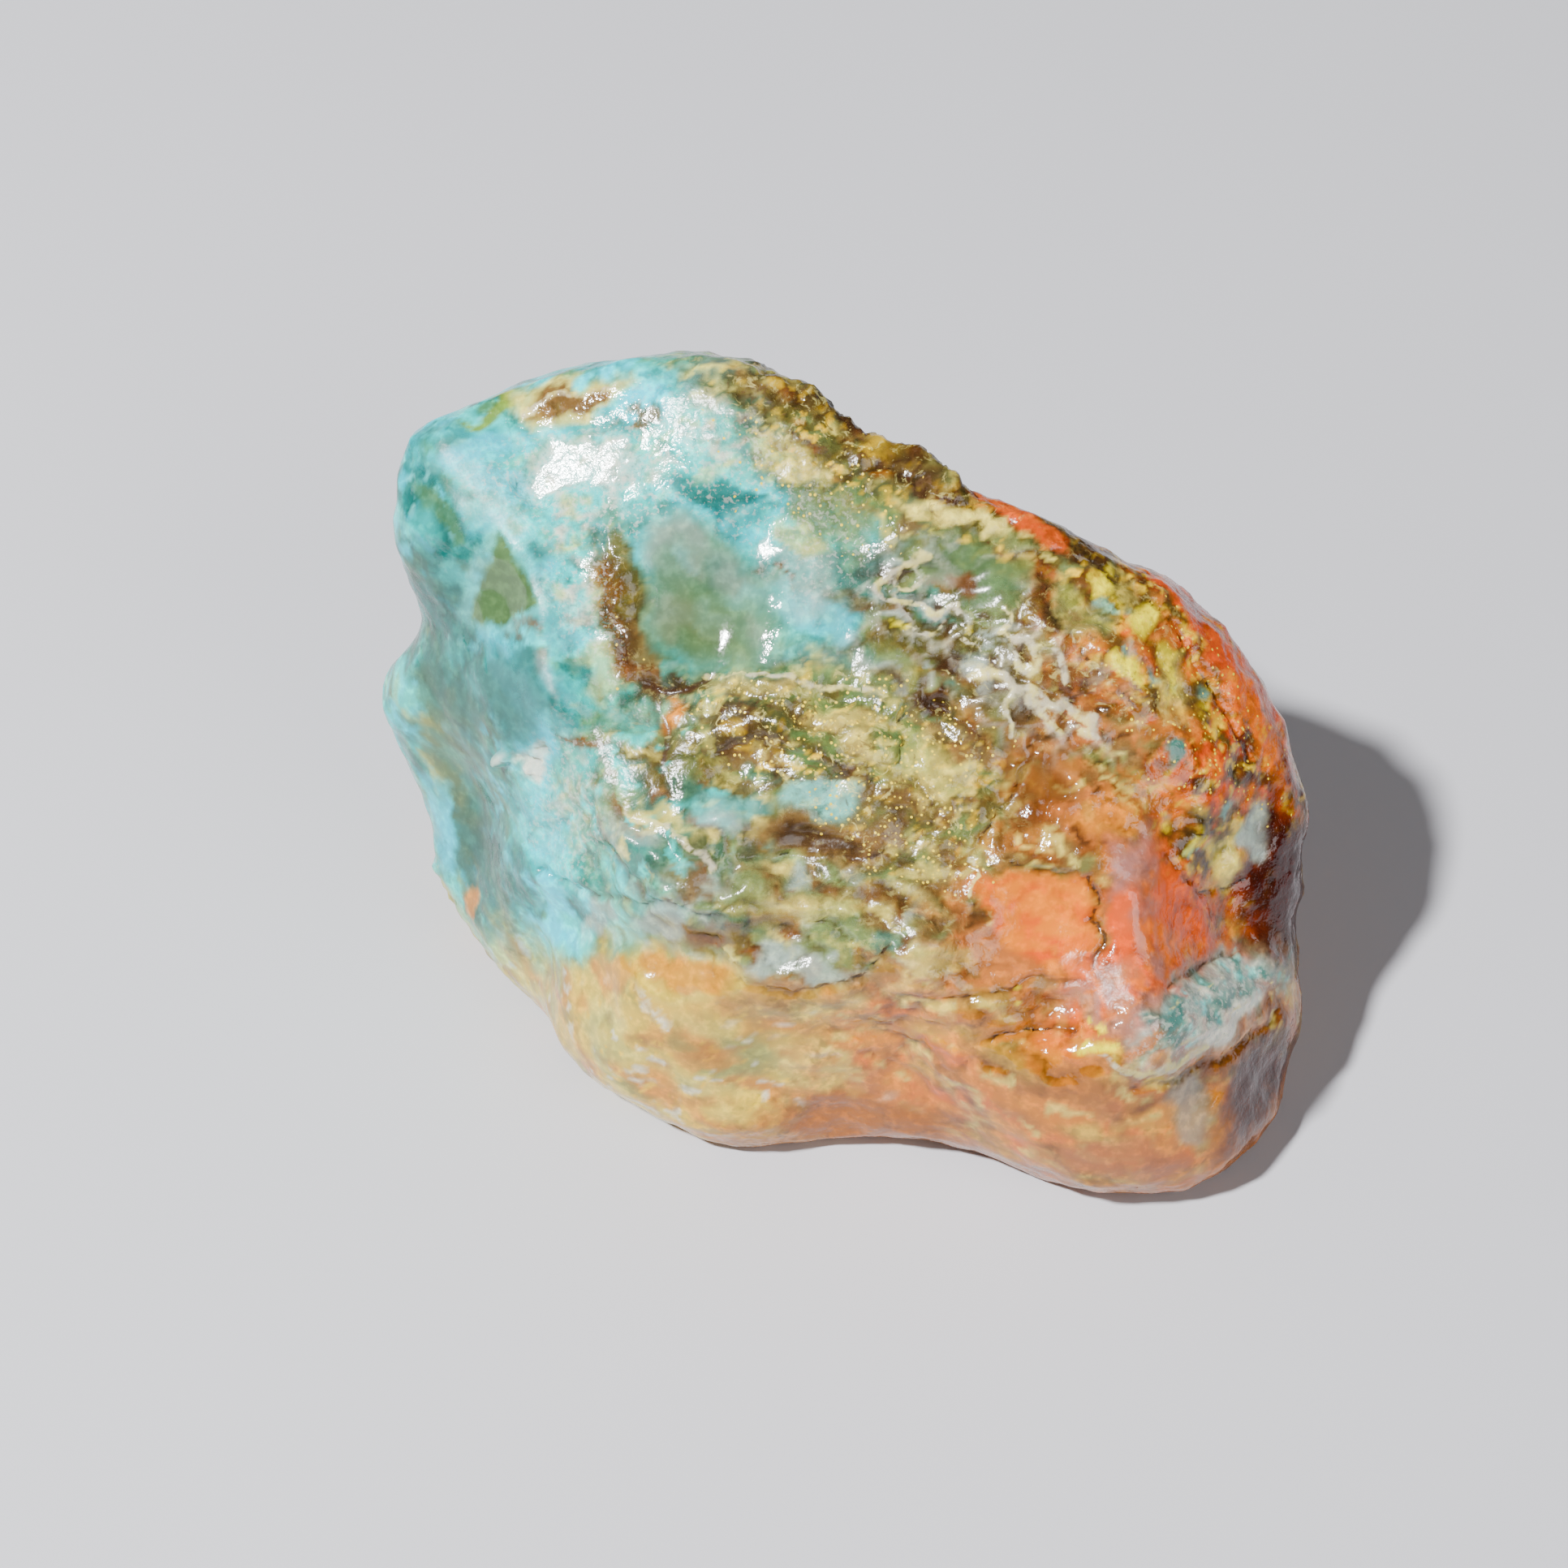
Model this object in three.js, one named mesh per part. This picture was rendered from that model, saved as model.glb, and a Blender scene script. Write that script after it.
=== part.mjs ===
// A nugget of rough amber: one solid, in millimetres, +Z up, resting on a flat facet.
// The stone is a blunt wedge. Its broad face leans back from the front, a steep
// wall drops from the broad face to the ground, and the back is lower and rounded.
import * as THREE from "three";
import { ImprovedNoise } from "three/addons/math/ImprovedNoise.js";
import { mergeVertices } from "three/addons/utils/BufferGeometryUtils.js";

// Driving dimensions.
const LENGTH = 30; // of the finished stone along X
const LEAN = 40; // degrees between the broad face and the ground
const HEART_HEIGHT = 8.6; // of the point inside that every facet is measured from
const MESH_DETAIL = 20; // gives 20 * (MESH_DETAIL + 1)^2 triangles
const EDGE_SHARPNESS = 22; // how tightly the facets meet: higher is sharper
const UNDERCUT = 1.0; // how far the foot of the walls draws in at the ground
const UNDERCUT_HEIGHT = 2.6; // where that drawing in begins

// The broad face's own axes: ACROSS runs to the right, UPHILL climbs the face, OUT leaves it.
const lean = THREE.MathUtils.degToRad(LEAN);
const ACROSS = new THREE.Vector3(1, 0, 0);
const UPHILL = new THREE.Vector3(0, Math.cos(lean), Math.sin(lean));
const OUT = new THREE.Vector3(0, -Math.sin(lean), Math.cos(lean));

// A direction from the heart. around goes round the broad face, from 0 at the right to 90
// uphill, and tip is 90 straight out of the face, 0 edge-on and -90 into the stone.
function towards(around, tip) {
  const a = THREE.MathUtils.degToRad(around);
  const t = THREE.MathUtils.degToRad(tip);
  return new THREE.Vector3()
    .addScaledVector(ACROSS, Math.cos(a) * Math.cos(t))
    .addScaledVector(UPHILL, Math.sin(a) * Math.cos(t))
    .addScaledVector(OUT, Math.sin(t));
}

// Facets of the blunt body: the way each one faces and how far it lies from the heart.
const FACETS = [
  // round the edge of the broad face
  { around: 102, tip: 4, reach: 13.8 },
  { around: 62, tip: -4, reach: 10.4 },
  { around: 42, tip: 4, reach: 11.9 },
  { around: 14, tip: 0, reach: 15.9 },
  { around: -20, tip: -4, reach: 17.8 },
  { around: 226, tip: -2, reach: 16.2 },
  { around: 200, tip: -12, reach: 14.45 },
  { around: 172, tip: 2, reach: 15.1 },
  // the broad face and the slopes beside it
  { around: 80, tip: 84, reach: 5.5 },
  { around: 143, tip: 73, reach: 7.6 },
  { around: 210, tip: 35, reach: 8.3 },
  { around: 24, tip: 60, reach: 8.9 },
  { around: 340, tip: 54, reach: 10.6 },
  // the front wall
  { around: 270, tip: 52, reach: 8.3 },
  { around: 240, tip: 38, reach: 11.6 },
  { around: 300, tip: 40, reach: 12.4 },
  { around: 270, tip: 20, reach: 12.9 },
  // the underside, which the ground then cuts flat
  { around: 270, tip: -50, reach: 9.9 },
  // the back
  { around: 92, tip: -40, reach: 10.8 },
  { around: 140, tip: -38, reach: 12.4 },
  { around: 40, tip: -40, reach: 10.4 },
  { around: 10, tip: -45, reach: 11.8 },
];

// Broad swellings and hollows: where each is centred, how far it spreads round the face
// and towards its tip in degrees, and how much it raises the surface.
const SWELLINGS = [
  { around: 132, tip: 4, spread: 16, depth: 20, rise: 1.2 }, // top left corner
  { around: 108, tip: 2, spread: 18, depth: 24, rise: 0.8 }, // along the crest
  { around: 66, tip: 0, spread: 12, depth: 30, rise: -0.3 }, // below the crest's end
  { around: 20, tip: 0, spread: 18, depth: 30, rise: 1.4 }, // fullness on the right
  { around: 342, tip: 4, spread: 6, depth: 14, rise: -0.8 }, // notch above the foot
  { around: 310, tip: 6, spread: 17, depth: 26, rise: 3.8 }, // foot at the lower right
  { around: 291, tip: 0, spread: 8, depth: 20, rise: -1.0 }, // hollow beside the foot
  { around: 230, tip: 4, spread: 17, depth: 24, rise: 1.6 }, // foot of the front wall
  { around: 204, tip: -6, spread: 9, depth: 16, rise: 0.3 }, // bulge low on the left
  { around: 184, tip: -6, spread: 8, depth: 14, rise: -0.5 }, // flat low on the left edge
  { around: 170, tip: -8, spread: 5, depth: 14, rise: 0.8 }, // knob on the left edge
  { around: 160, tip: 0, spread: 6, depth: 14, rise: -0.5 }, // nick above the knob
  { around: 70, tip: -62, spread: 60, depth: 16, rise: -0.9 }, // dished back
  { around: 120, tip: -30, spread: 14, depth: 14, rise: 0.8 }, // lump on the back
  { around: 150, tip: -44, spread: 18, depth: 8, rise: 0.7 }, // ledge on the back
  { around: 100, tip: -50, spread: 30, depth: 6, rise: -0.6 }, // groove under the lump
  { around: 58, tip: -34, spread: 9, depth: 9, rise: -0.7 }, // pit high on the back
  { around: 20, tip: -28, spread: 14, depth: 12, rise: 0.7 }, // lump behind the right side
];

// Relief on the broad face and front wall. Each stroke runs through points given as
// [across, uphill] from the heart. It is a ridge where rise is positive, else a crack.
const STROKES = [
  // the shoulder that parts the broad face from the left face
  { rise: 0.45, width: 1.1, points: [[-13.0, 10.6], [-10.6, 8.2], [-9.2, 5.0], [-8.8, 2.2]] },
  { rise: 0.4, width: 1.0, points: [[-8.8, 2.2], [-10.2, 0.4], [-10.6, -2.2], [-9.8, -3.8]] },
  // crease down the left face
  { rise: -0.4, width: 0.9, points: [[-12.8, 2.6], [-12.4, 0.8], [-11.6, -1.4], [-11.8, -4.0]] },
  // rusty crack beside the large smooth window, turning under it
  { rise: -0.4, width: 0.9, points: [[-7.9, 6.8], [-8.0, 4.4], [-6.7, 2.4], [-5.6, 1.9], [-4.4, 2.4]] },
  // slot near the crest
  { rise: -0.4, width: 0.8, points: [[-10.2, 11.3], [-7.6, 11.6]] },
  // edge of the thick crust below the crest, and of the crust below the window
  { rise: 0.4, width: 1.1, points: [[-4.0, 12.0], [-3.4, 10.6], [-1.6, 9.4], [1.6, 8.6], [3.4, 7.8]] },
  { rise: 0.4, width: 0.9, points: [[-4.4, 1.6], [-2.6, 1.8], [-0.6, 1.3], [1.6, 0.9]] },
  // groove between the crust and the smooth right side
  { rise: -0.45, width: 0.8, points: [[6.4, 0.3], [5.7, -1.4], [4.6, -2.9], [3.8, -3.7]] },
  // folds that run down to the right across the lower middle
  { rise: 0.4, width: 0.8, points: [[-7.1, -1.8], [-5.8, -2.5], [-4.7, -3.4], [-4.3, -4.2]] },
  { rise: 0.35, width: 0.8, points: [[-2.8, -3.9], [-0.8, -4.1], [1.6, -3.6]] },
  // shadowed ledge above the front wall
  { rise: 0.35, width: 0.9, points: [[-9.6, -3.2], [-7.6, -3.7], [-5.6, -4.1]] },
  { rise: -0.55, width: 0.8, points: [[-9.8, -4.4], [-8.2, -5.0], [-6.2, -5.5], [-3.8, -5.8]] },
  // drapery folds under the orange hollow
  { rise: -0.5, width: 0.8, points: [[2.2, -8.7], [4.4, -8.2], [6.8, -7.9], [8.4, -8.3]] },
  { rise: 0.35, width: 0.9, points: [[-2.0, -6.9], [0.6, -7.3], [3.4, -7.2], [5.2, -7.7]] },
  // raised flow on the right, beside the hollow
  { rise: 0.45, width: 1.0, points: [[9.4, -2.6], [10.4, -5.0], [9.8, -7.0]] },
  { rise: -0.4, width: 0.9, points: [[12.0, -2.0], [13.4, -4.6], [13.0, -6.6]] },
  // streaks that follow the right edge
  { rise: 0.35, width: 0.9, points: [[4.4, 6.2], [8.0, 4.6], [11.0, 2.0], [12.6, -0.6]] },
  { rise: -0.35, width: 0.8, points: [[3.2, 4.6], [6.6, 3.0], [9.4, 0.4]] },
];

// Rounded lumps, and pits where rise is negative: centre, half widths, turn in degrees
// and rise. A flat of 1 gives a plain dome, higher gives a flat floor with steeper sides.
const DABS = [
  { at: [-11.1, 5.4], size: [1.4, 1.8], turn: 20, rise: -0.5, flat: 1.5 }, // small window
  { at: [-4.6, 4.8], size: [2.5, 2.6], turn: 10, rise: -0.55, flat: 2 }, // large window
  { at: [-10.8, 2.6], size: [1.4, 1.6], turn: -20, rise: 0.3, flat: 1 },
  { at: [-1.6, 10.8], size: [1.7, 1.2], turn: -30, rise: 0.45, flat: 1 }, // crust lump
  { at: [1.4, 9.6], size: [1.4, 1.0], turn: -25, rise: 0.35, flat: 1 }, // crust lump
  { at: [3.8, 5.8], size: [1.6, 1.0], turn: -20, rise: -0.4, flat: 1.5 }, // brown pit
  { at: [-2.7, 0.2], size: [0.9, 0.8], turn: 0, rise: -0.4, flat: 1 }, // brown pit
  { at: [3.2, 1.5], size: [1.0, 0.8], turn: 0, rise: -0.4, flat: 1 }, // brown pit
  { at: [-0.9, -2.8], size: [1.7, 0.8], turn: 0, rise: -0.5, flat: 1.5 }, // smooth brown pit
  { at: [-4.0, -2.2], size: [1.0, 0.9], turn: 0, rise: 0.35, flat: 1 }, // blue dome
  { at: [-3.1, -4.6], size: [1.0, 0.8], turn: 0, rise: 0.35, flat: 1 }, // pale dome
  { at: [6.4, -5.6], size: [2.7, 2.4], turn: 0, rise: -0.9, flat: 1.5 }, // orange hollow
  { at: [3.2, -5.4], size: [1.2, 1.6], turn: 10, rise: 0.35, flat: 1 }, // its left lip
  { at: [11.0, -8.2], size: [3.4, 1.5], turn: 24, rise: 1.2, flat: 1.3 }, // blue-grey lump
  { at: [12.4, -3.0], size: [1.2, 1.0], turn: 0, rise: 0.45, flat: 1 }, // yellow lump
  { at: [-7.6, -8.0], size: [2.0, 2.2], turn: 0, rise: 0.3, flat: 1 },
  { at: [-1.6, -9.6], size: [2.4, 1.7], turn: 12, rise: -0.3, flat: 1 },
];

// Craggy texture over the whole stone: the size of its lumps and how high they stand.
const CRAGS = [
  { lump: 5.2, height: 0.5, seed: 11.3 },
  { lump: 2.6, height: 0.3, seed: 47.9 },
];
const CREASE_SHARE = 0.6; // how much of the texture is sharp creases, not soft lumps

const noise = new ImprovedNoise();

function distanceToStroke(across, uphill, points) {
  let nearest = Infinity;
  for (let i = 0; i < points.length - 1; i++) {
    const [ax, ay] = points[i];
    const dx = points[i + 1][0] - ax;
    const dy = points[i + 1][1] - ay;
    const along = ((across - ax) * dx + (uphill - ay) * dy) / (dx * dx + dy * dy);
    const t = THREE.MathUtils.clamp(along, 0, 1);
    nearest = Math.min(nearest, Math.hypot(across - ax - dx * t, uphill - ay - dy * t));
  }
  return nearest;
}

function strokeRise(across, uphill) {
  let rise = 0;
  for (const stroke of STROKES) {
    const distance = distanceToStroke(across, uphill, stroke.points);
    rise += stroke.rise * Math.exp(-((distance / stroke.width) ** 2));
  }
  return rise;
}

function dabRise(across, uphill) {
  let rise = 0;
  for (const dab of DABS) {
    const turn = THREE.MathUtils.degToRad(dab.turn);
    const dx = across - dab.at[0];
    const dy = uphill - dab.at[1];
    const lengthwise = (dx * Math.cos(turn) + dy * Math.sin(turn)) / dab.size[0];
    const sideways = (dy * Math.cos(turn) - dx * Math.sin(turn)) / dab.size[1];
    rise += dab.rise * Math.exp(-(Math.hypot(lengthwise, sideways) ** (2 * dab.flat)));
  }
  return rise;
}

function swell(around, tip) {
  let rise = 0;
  for (const lump of SWELLINGS) {
    const turn = THREE.MathUtils.euclideanModulo(around - lump.around + 180, 360) - 180;
    const level = Math.cos(THREE.MathUtils.degToRad(tip));
    const apart = Math.hypot((turn * level) / lump.spread, (tip - lump.tip) / lump.depth);
    rise += lump.rise * Math.exp(-(apart ** 2));
  }
  return rise;
}

function bluntReach(direction) {
  let sum = 0;
  for (const facet of FACETS) {
    facet.normal ??= towards(facet.around, facet.tip);
    const closing = direction.dot(facet.normal) / facet.reach;
    if (closing > 0) sum += closing ** EDGE_SHARPNESS;
  }
  return sum ** (-1 / EDGE_SHARPNESS);
}

function crags(point) {
  let rise = 0;
  for (const { lump, height, seed } of CRAGS) {
    const n = noise.noise(point.x / lump + seed, point.y / lump - seed, point.z / lump + seed);
    const crease = 0.5 - 2 * Math.abs(n);
    rise += height * (CREASE_SHARE * crease + (1 - CREASE_SHARE) * 2 * n);
  }
  return rise;
}

// One point of the surface, in the direction given, from the heart as origin.
function surfacePoint(direction) {
  const across = direction.dot(ACROSS);
  const uphill = direction.dot(UPHILL);
  const around = THREE.MathUtils.radToDeg(Math.atan2(uphill, across));
  const tip = THREE.MathUtils.radToDeg(Math.asin(direction.dot(OUT)));
  const reach = bluntReach(direction) + swell(around, tip);
  const point = direction.clone().multiplyScalar(reach);
  point.addScaledVector(direction, crags(point));
  const front = THREE.MathUtils.smoothstep(point.dot(OUT), -5, -2);
  const place = [point.dot(ACROSS), point.dot(UPHILL)];
  point.addScaledVector(OUT, front * (strokeRise(...place) + dabRise(...place)));
  const grounded = point.z < -HEART_HEIGHT;
  if (grounded) point.multiplyScalar(-HEART_HEIGHT / point.z);
  point.z = grounded ? 0 : point.z + HEART_HEIGHT;
  const drawIn = UNDERCUT * THREE.MathUtils.clamp(1 - point.z / UNDERCUT_HEIGHT, 0, 1) ** 2;
  const level = Math.hypot(point.x, point.y);
  point.x -= (point.x / level) * Math.min(drawIn, level / 2);
  point.y -= (point.y / level) * Math.min(drawIn, level / 2);
  return point;
}

function makeNugget() {
  const ball = new THREE.IcosahedronGeometry(1, MESH_DETAIL);
  ball.deleteAttribute("normal");
  ball.deleteAttribute("uv");
  const stone = mergeVertices(ball, 1e-5);
  const place = stone.getAttribute("position");
  const direction = new THREE.Vector3();
  for (let i = 0; i < place.count; i++) {
    const point = surfacePoint(direction.fromBufferAttribute(place, i).normalize());
    place.setXYZ(i, point.x, point.y, point.z);
  }
  return stone;
}

// The origin is under the middle of the stone's box, on the ground.
function centred(stone) {
  stone.computeBoundingBox();
  const box = stone.boundingBox;
  const size = LENGTH / (box.max.x - box.min.x);
  stone.translate(-(box.min.x + box.max.x) / 2, -(box.min.y + box.max.y) / 2, 0);
  stone.scale(size, size, size);
  return stone;
}

const amber = new THREE.Mesh(
  centred(makeNugget()),
  new THREE.MeshStandardMaterial({ color: 0x5fa79b, roughness: 0.25, metalness: 0 })
);
amber.name = "amber";

const part = new THREE.Group();
part.add(amber);
export default part;
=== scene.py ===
import itertools
import math

import bpy
import numpy as np
from bpy.props import FloatProperty, FloatVectorProperty, IntProperty, PointerProperty
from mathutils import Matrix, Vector


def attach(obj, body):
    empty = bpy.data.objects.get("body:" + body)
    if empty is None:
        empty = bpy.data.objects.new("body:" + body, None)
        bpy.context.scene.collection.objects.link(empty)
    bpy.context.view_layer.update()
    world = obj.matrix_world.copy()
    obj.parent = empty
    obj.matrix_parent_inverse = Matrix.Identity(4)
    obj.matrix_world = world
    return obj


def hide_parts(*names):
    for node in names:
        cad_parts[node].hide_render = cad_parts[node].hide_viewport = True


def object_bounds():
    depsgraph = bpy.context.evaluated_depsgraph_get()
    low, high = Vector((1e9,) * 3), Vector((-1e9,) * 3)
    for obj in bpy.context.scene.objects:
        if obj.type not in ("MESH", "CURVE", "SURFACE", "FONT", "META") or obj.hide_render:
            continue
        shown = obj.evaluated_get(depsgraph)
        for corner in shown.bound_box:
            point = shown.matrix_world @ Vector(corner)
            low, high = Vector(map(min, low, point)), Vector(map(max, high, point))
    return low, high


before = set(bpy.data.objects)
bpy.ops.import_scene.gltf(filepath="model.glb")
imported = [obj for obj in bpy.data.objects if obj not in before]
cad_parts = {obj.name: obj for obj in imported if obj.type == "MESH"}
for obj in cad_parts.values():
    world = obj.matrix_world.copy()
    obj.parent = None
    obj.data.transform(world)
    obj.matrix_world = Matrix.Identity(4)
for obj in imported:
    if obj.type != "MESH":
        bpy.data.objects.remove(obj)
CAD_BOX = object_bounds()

bl_info = {
    "name": "Rough amber",
    "version": (1, 0, 0),
    "blender": (4, 5, 0),
    "location": "View3D > Sidebar > Amber",
    "description": "Dresses a solid nugget of amber with its crust, cracks, colours and clear windows",
    "category": "Add Mesh",
}

MM = 0.001
LOW, HIGH = (Vector(corner) for corner in CAD_BOX)
LENGTH = HIGH.x - LOW.x
MIDDLE = (LOW + HIGH) / 2

# The broad face leans back by this much. Places on the stone are given in millimetres
# from the middle of its box: across to the right, uphill along the face, and out of it.
LEAN = math.radians(40)
ACROSS = np.array((1.0, 0.0, 0.0))
UPHILL = np.array((0.0, math.cos(LEAN), math.sin(LEAN)))
OUT = np.array((0.0, -math.sin(LEAN), math.cos(LEAN)))

# How light goes through amber.
AMBER_IOR = 1.54
ABSORPTION_COLOUR = (0.95, 0.62, 0.26, 1.0)
ABSORPTION_DENSITY = 120.0

# The stage: where the lights and the camera's aim lie, seen from the middle of the stone. The
# aim and every distance and size are in lengths of the stone.
KEY_FROM = (-0.5, -0.27, 0.82)
KEY_DISTANCE, KEY_SIZE = 10, 0.9
FILL_FROM = (0.7, -0.6, 0.6)
FILL_DISTANCE, FILL_SIZE = 12, 8
CAMERA_AIM = (-0.0608, -0.0175, -0.0371)
FLOOR_SIZE = 80
SKY_COLOUR = (0.9, 0.93, 1.0, 1.0)

# Millimetres that a flat may take the skin up or down.
FLAT_REACH = 0.45
# Millimetres over which the relief fades out towards the ground.
FOOT_FADE = (0.05, 0.9)


def tone(hex_code):
    """A colour from its usual six-figure code, as Blender's linear values."""
    values = (int(hex_code[i:i + 2], 16) / 255 for i in (0, 2, 4))
    return tuple(v / 12.92 if v <= 0.04045 else ((v + 0.055) / 1.055) ** 2.4 for v in values)


# ---------------------------------------------------------------- where things lie

# Mottled mixtures: a ground colour, then spots of others, each with the size of its spots
# in millimetres, the share of the skin it covers, how soft its edges are and its strength.
MIXTURES = {
    "shore": (
        "turquoise", ("sky", 2.0, 0.3, 0.9, 0.8), ("teal", 1.2, 0.3, 0.8, 0.7),
        ("ice", 0.5, 0.08, 0.5, 0.7), ("lime", 0.8, 0.06, 0.5, 0.5), ("deep_teal", 0.7, 0.12, 0.6, 0.7),
    ),
    "deeps": (
        "teal", ("turquoise", 1.4, 0.34, 0.8, 0.9), ("deep_teal", 1.0, 0.34, 0.8, 0.9),
        ("moss", 1.2, 0.12, 0.6, 0.7), ("sky", 0.7, 0.12, 0.5, 0.8), ("ice", 0.4, 0.06, 0.4, 0.7),
    ),
    "frost": (
        "ice", ("turquoise", 0.8, 0.6, 0.6, 0.9), ("white", 0.4, 0.24, 0.4, 0.9),
        ("cream", 0.6, 0.12, 0.4, 0.7), ("teal", 0.5, 0.12, 0.4, 0.8),
    ),
    "shallows": (
        "moss", ("turquoise", 1.4, 0.5, 0.8, 0.9), ("cream", 0.9, 0.2, 0.7, 0.7),
        ("teal", 1.0, 0.34, 0.6, 0.8), ("sky", 0.8, 0.16, 0.6, 0.7),
    ),
    "thicket": (
        "olive", ("brown", 0.9, 0.28, 0.5, 0.9), ("rust", 0.8, 0.12, 0.4, 0.8),
        ("cream", 0.45, 0.24, 0.3, 0.7), ("moss", 0.8, 0.26, 0.4, 0.8), ("gold", 0.35, 0.1, 0.2, 1.0),
        ("amber", 0.9, 0.05, 0.4, 0.8),
    ),
    "mud": (
        "kelp_green", ("clay", 1.1, 0.46, 0.6, 0.95), ("brown", 0.9, 0.22, 0.6, 0.85),
        ("olive", 0.8, 0.2, 0.5, 0.8), ("cream", 0.5, 0.16, 0.4, 0.8), ("gold", 0.3, 0.06, 0.2, 0.8),
    ),
    "kelp": (
        "moss", ("teal", 1.0, 0.4, 0.5, 0.9), ("olive", 0.9, 0.4, 0.4, 0.9),
        ("turquoise", 0.7, 0.14, 0.4, 0.9), ("cream", 0.45, 0.1, 0.3, 0.8), ("rust", 0.7, 0.12, 0.4, 0.8),
    ),
    "draped": (
        "moss", ("slate", 1.0, 0.3, 0.6, 0.8), ("clay", 1.3, 0.34, 0.7, 0.9),
        ("cream", 0.7, 0.2, 0.5, 0.7), ("rust", 0.7, 0.12, 0.4, 0.8), ("deep_teal", 0.8, 0.1, 0.5, 0.6),
    ),
    "flesh": (
        "tan", ("clay", 1.1, 0.4, 0.6, 0.9), ("rust", 0.8, 0.26, 0.5, 0.9),
        ("cream", 0.5, 0.12, 0.4, 0.7), ("blush", 1.3, 0.24, 0.8, 0.9), ("moss", 0.9, 0.12, 0.5, 0.7),
        ("brown", 0.5, 0.08, 0.3, 0.8),
    ),
    "foam": (
        "moss", ("teal", 1.2, 0.32, 0.6, 0.8), ("olive", 1.0, 0.34, 0.5, 0.9),
        ("clay", 0.8, 0.26, 0.5, 0.9), ("slate", 0.6, 0.16, 0.4, 0.8), ("brown", 0.7, 0.2, 0.5, 0.9),
    ),
    "embers": (
        "rust", ("ember", 1.1, 0.55, 0.6, 1.0), ("wine", 0.8, 0.18, 0.5, 0.8),
        ("orange", 0.8, 0.34, 0.5, 1.0), ("olive", 0.6, 0.18, 0.4, 0.8), ("gold", 0.4, 0.14, 0.3, 0.9),
    ),
    "fire": (
        "orange", ("amber", 1.0, 0.3, 0.8, 0.5), ("ember", 0.8, 0.3, 0.6, 0.9),
        ("flame", 0.6, 0.3, 0.5, 0.8),
    ),
    "rose": (
        "mauve", ("ember", 0.8, 0.4, 0.7, 0.9), ("blush", 0.7, 0.3, 0.6, 0.7),
        ("orange", 0.5, 0.12, 0.4, 0.9),
    ),
    "wall": (
        "honey", ("cream", 1.6, 0.44, 1.0, 0.9), ("amber", 1.3, 0.24, 0.9, 0.8),
        ("moss", 1.6, 0.22, 0.9, 0.6), ("tan", 0.9, 0.08, 0.6, 0.6), ("white", 0.5, 0.05, 0.4, 0.8),
        ("gold", 0.3, 0.04, 0.2, 0.8),
    ),
    "lobe": (
        "tan", ("honey", 1.6, 0.4, 0.9, 0.7), ("blush", 1.3, 0.3, 0.8, 0.9),
        ("rust", 1.0, 0.2, 0.7, 0.7), ("amber", 1.4, 0.34, 0.9, 0.9), ("orange", 1.0, 0.14, 0.7, 0.8),
        ("cream", 0.7, 0.1, 0.5, 0.7),
    ),
    "glass": (
        "window", ("slate", 1.4, 0.3, 1.0, 0.6), ("ice", 1.0, 0.14, 0.8, 0.5), ("teal", 1.2, 0.3, 1.0, 0.6),
    ),
    "lichen": (
        "olive", ("cream", 0.8, 0.3, 0.4, 0.8), ("sulphur", 0.6, 0.16, 0.4, 0.9),
        ("gold", 0.5, 0.16, 0.3, 0.9), ("brown", 0.6, 0.24, 0.4, 0.8), ("ice", 0.6, 0.06, 0.4, 0.7),
        ("ember", 0.8, 0.24, 0.4, 0.8),
    ),
    "ash": (
        "slate", ("white", 0.6, 0.3, 0.5, 0.9), ("teal", 0.9, 0.26, 0.5, 0.8),
        ("mauve", 0.8, 0.2, 0.6, 0.8), ("ice", 0.4, 0.1, 0.4, 0.8),
    ),
}

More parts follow.
